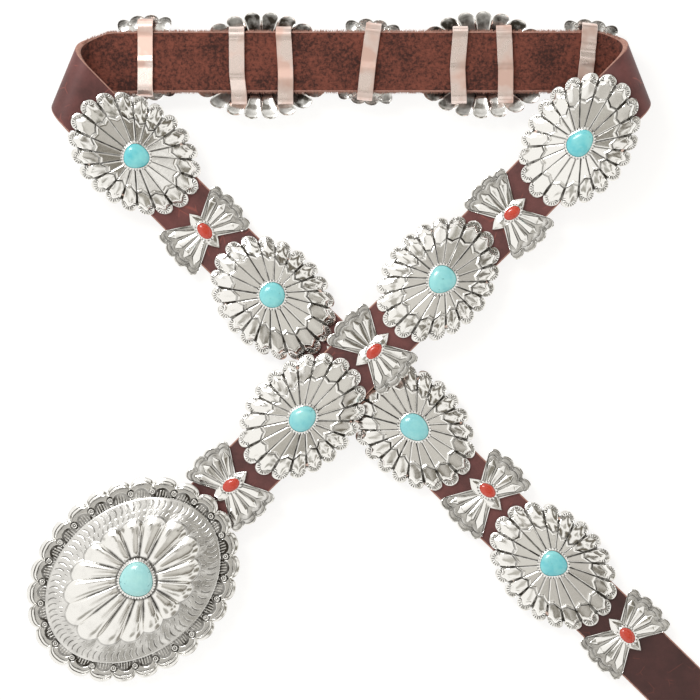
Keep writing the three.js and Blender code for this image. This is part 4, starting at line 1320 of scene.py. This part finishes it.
def butterfly(index, name, row):
    """A butterfly spacer with its bezel, its loop and its coral."""
    x, y, turn, skew, coral = row
    seat = seat_on(name.split("_")[0], x, y, turn)
    node = f"butterfly_{name}"
    silver = [*wings(), leaf(), bezel(coral, 0.7, 3.65, 0.95)]
    stamps = stamp_places(silver, butterfly_stamps())
    make_piece(f"butterfly_plate_{name}", silver, seat, [BUTTERFLY_SILVER], node, stamps, sharp=25)
    loop = turned(copper_loop(0.0, 0.4, bends_of(node, index)[0]), skew)
    make_piece(f"butterfly_loop_{name}", [loop], seat, [COPPER], node, sharp=30)
    gem = cabochon(coral, 1.7, 3.2, 4.9)
    make_piece(f"coral_stone_{name}", [gem], seat, [CORAL_RED], f"coral_{name}", sharp=80)


def buckle():
    """The buckle with its beads, its bezel, the fittings on its back and its turquoise."""
    seat = buckle_seat()
    marks = buckle_marks()
    silver = [buckle_plate(), bezel(BUCKLE_STONE, 6.6, 9.45, 1.05)]
    silver += [stamp_ring(row[:2], 1.0, 1.1) for row in marks if row[3] == 2]
    stamps = border_places(silver, marks)
    make_piece("buckle_plate", silver, seat, [BUCKLE_SILVER], "buckle", stamps, sharp=50)
    loop = turned(copper_loop(0.0, 3.0, PLAIN_BENDS[0], wide=8.0, middle=-6.0), 6.0)
    loop.points = loop.points + (22.0, 1.5, 0)
    make_piece("buckle_loop_and_hook", [loop, hook()], seat, [COPPER], "buckle", sharp=30)
    gem = cabochon(BUCKLE_STONE, 7.0, 8.6, 11.6, 0.6)
    make_piece("turquoise_stone_buckle", [gem], seat, [TURQUOISE], "turquoise_buckle", sharp=80)


strap()
buckle()
for number, (label, table_row) in enumerate(CONCHOS.items()):
    concho(number, label, table_row)
for number, (label, table_row) in enumerate(BUTTERFLIES.items()):
    butterfly(number, label, table_row)


# Surroundings

# In metres: half the floor's side, how far it lies under the loops, and the softbox
FLOOR_REACH = 4.0
FLOOR_DROP = 0.0003
SOFTBOX = (-0.55, 0.65, 0.9)
SOFTBOX_SIZE = (0.5, 0.35)
SOFTBOX_POWER = 6.0
TENT_WALL = "#FFFDF9"
# Patches of the tent that the metal mirrors: where they lie (turn, lean from straight up), how far
# they reach (full, gone), and their colour
TENT = (
    (-100, 40, 5, 12, "#A9A69E"),
    (-28, 37, 6, 10, "#7A7568"),
    (48, 43, 8, 12, "#686255"),
    (92, 43, 6, 10, "#686255"),
    (70, 43, 6, 10, "#686255"),
    (28, 43, 6, 10, "#686255"),
    (8, 43, 6, 10, "#736E62"),
    (-72, 19, 4, 7, "#7D786D"),
    (-48, 19, 4, 7, "#6B6558"),
    (-22, 19, 4, 7, "#6B6558"),
    (-62, 34, 4, 8, "#938E82"),
    (135, 30, 4, 8, "#77746A"),
    (50, 64, 8, 18, "#86827A"),
    (-60, 62, 6, 16, "#8F8A81"),
    (170, 66, 4, 12, "#9E9A92"),
    (45, 19, 4, 7, "#8F8B7D"),
    (225, 13, 5, 8, "#B5B1A8"),
    (-100, 17, 3, 5.5, "#7D786D"),
    (10, 22, 4, 6, "#5A5446"),
    (140, 19, 3, 5, "#8A857A"),
    (45, 4.5, 15, 16.5, "#C2BEB7"),
    (45, 1, 8, 11, "#DAD7D0"),
    (50, 12, 3, 4.5, "#77756A"),
)


def stage():
    """A pale floor, a bright light tent with grey patches, a softbox and the camera above."""
    scene = bpy.context.scene
    scene.view_settings.view_transform = "Standard"
    floor_mesh = bpy.data.meshes.new("floor")
    corners = [(x * FLOOR_REACH, y * FLOOR_REACH, 0) for x, y in ((-1, -1), (1, -1), (1, 1), (-1, 1))]
    floor_mesh.from_pydata(corners, [], [(0, 1, 2, 3)])
    floor = bpy.data.objects.new("floor", floor_mesh)
    scene.collection.objects.link(floor)
    floor.location.z = -FLOOR_DROP
    paper, _, card, _ = material("white_card_floor")
    wire(card, {"Base Color": srgb("#8C8A86"), "Roughness": 0.9,
                "Emission Color": srgb("#FFFFFF"), "Emission Strength": 0.8})
    floor_mesh.materials.append(paper)

    world = bpy.data.worlds.new("light_tent")
    scene.world = world
    world.use_nodes = True
    tree = world.node_tree
    way = add(tree, "TexCoord", {})
    sky = TENT_WALL
    for turn, lean, inner, outer, code in TENT:
        a, b = math.radians(turn), math.radians(lean)
        aim = (math.cos(a) * math.sin(b), math.sin(a) * math.sin(b), math.cos(b))
        close = add(tree, "VectorMath", "DOT_PRODUCT", way, aim, out="Value")
        limits = ends(math.cos(math.radians(outer)), math.cos(math.radians(inner)))
        near = add(tree, "MapRange", {**limits, "interpolation_type": "SMOOTHSTEP"}, close)
        sky = add(tree, "Mix", tones(sky, code), near, out=2)
    wire(tree.nodes["Background"], {"Color": sky, "Strength": 1.0})

    key = bpy.data.lights.new("upper_left_softbox", "AREA")
    key.shape = "RECTANGLE"
    key.size, key.size_y = SOFTBOX_SIZE
    key.energy = SOFTBOX_POWER
    lamp = bpy.data.objects.new("upper_left_softbox", key)
    scene.collection.objects.link(lamp)
    lamp.location = SOFTBOX
    lamp.rotation_euler = (-math.atan2(SOFTBOX[1], SOFTBOX[2]), math.atan2(SOFTBOX[0], SOFTBOX[2]), 0)

    lens = bpy.data.cameras.new("overhead_camera")
    lens.sensor_width = SENSOR
    lens.lens = SENSOR * (CAMERA_HEIGHT - LENS_PLANE) / PHOTO_SPAN
    lens.clip_end = 20
    camera = bpy.data.objects.new("overhead_camera", lens)
    scene.collection.objects.link(camera)
    camera.location = (*(np.array(PHOTO_MIDDLE) * MM), CAMERA_HEIGHT * MM)
    scene.camera = camera


stage()
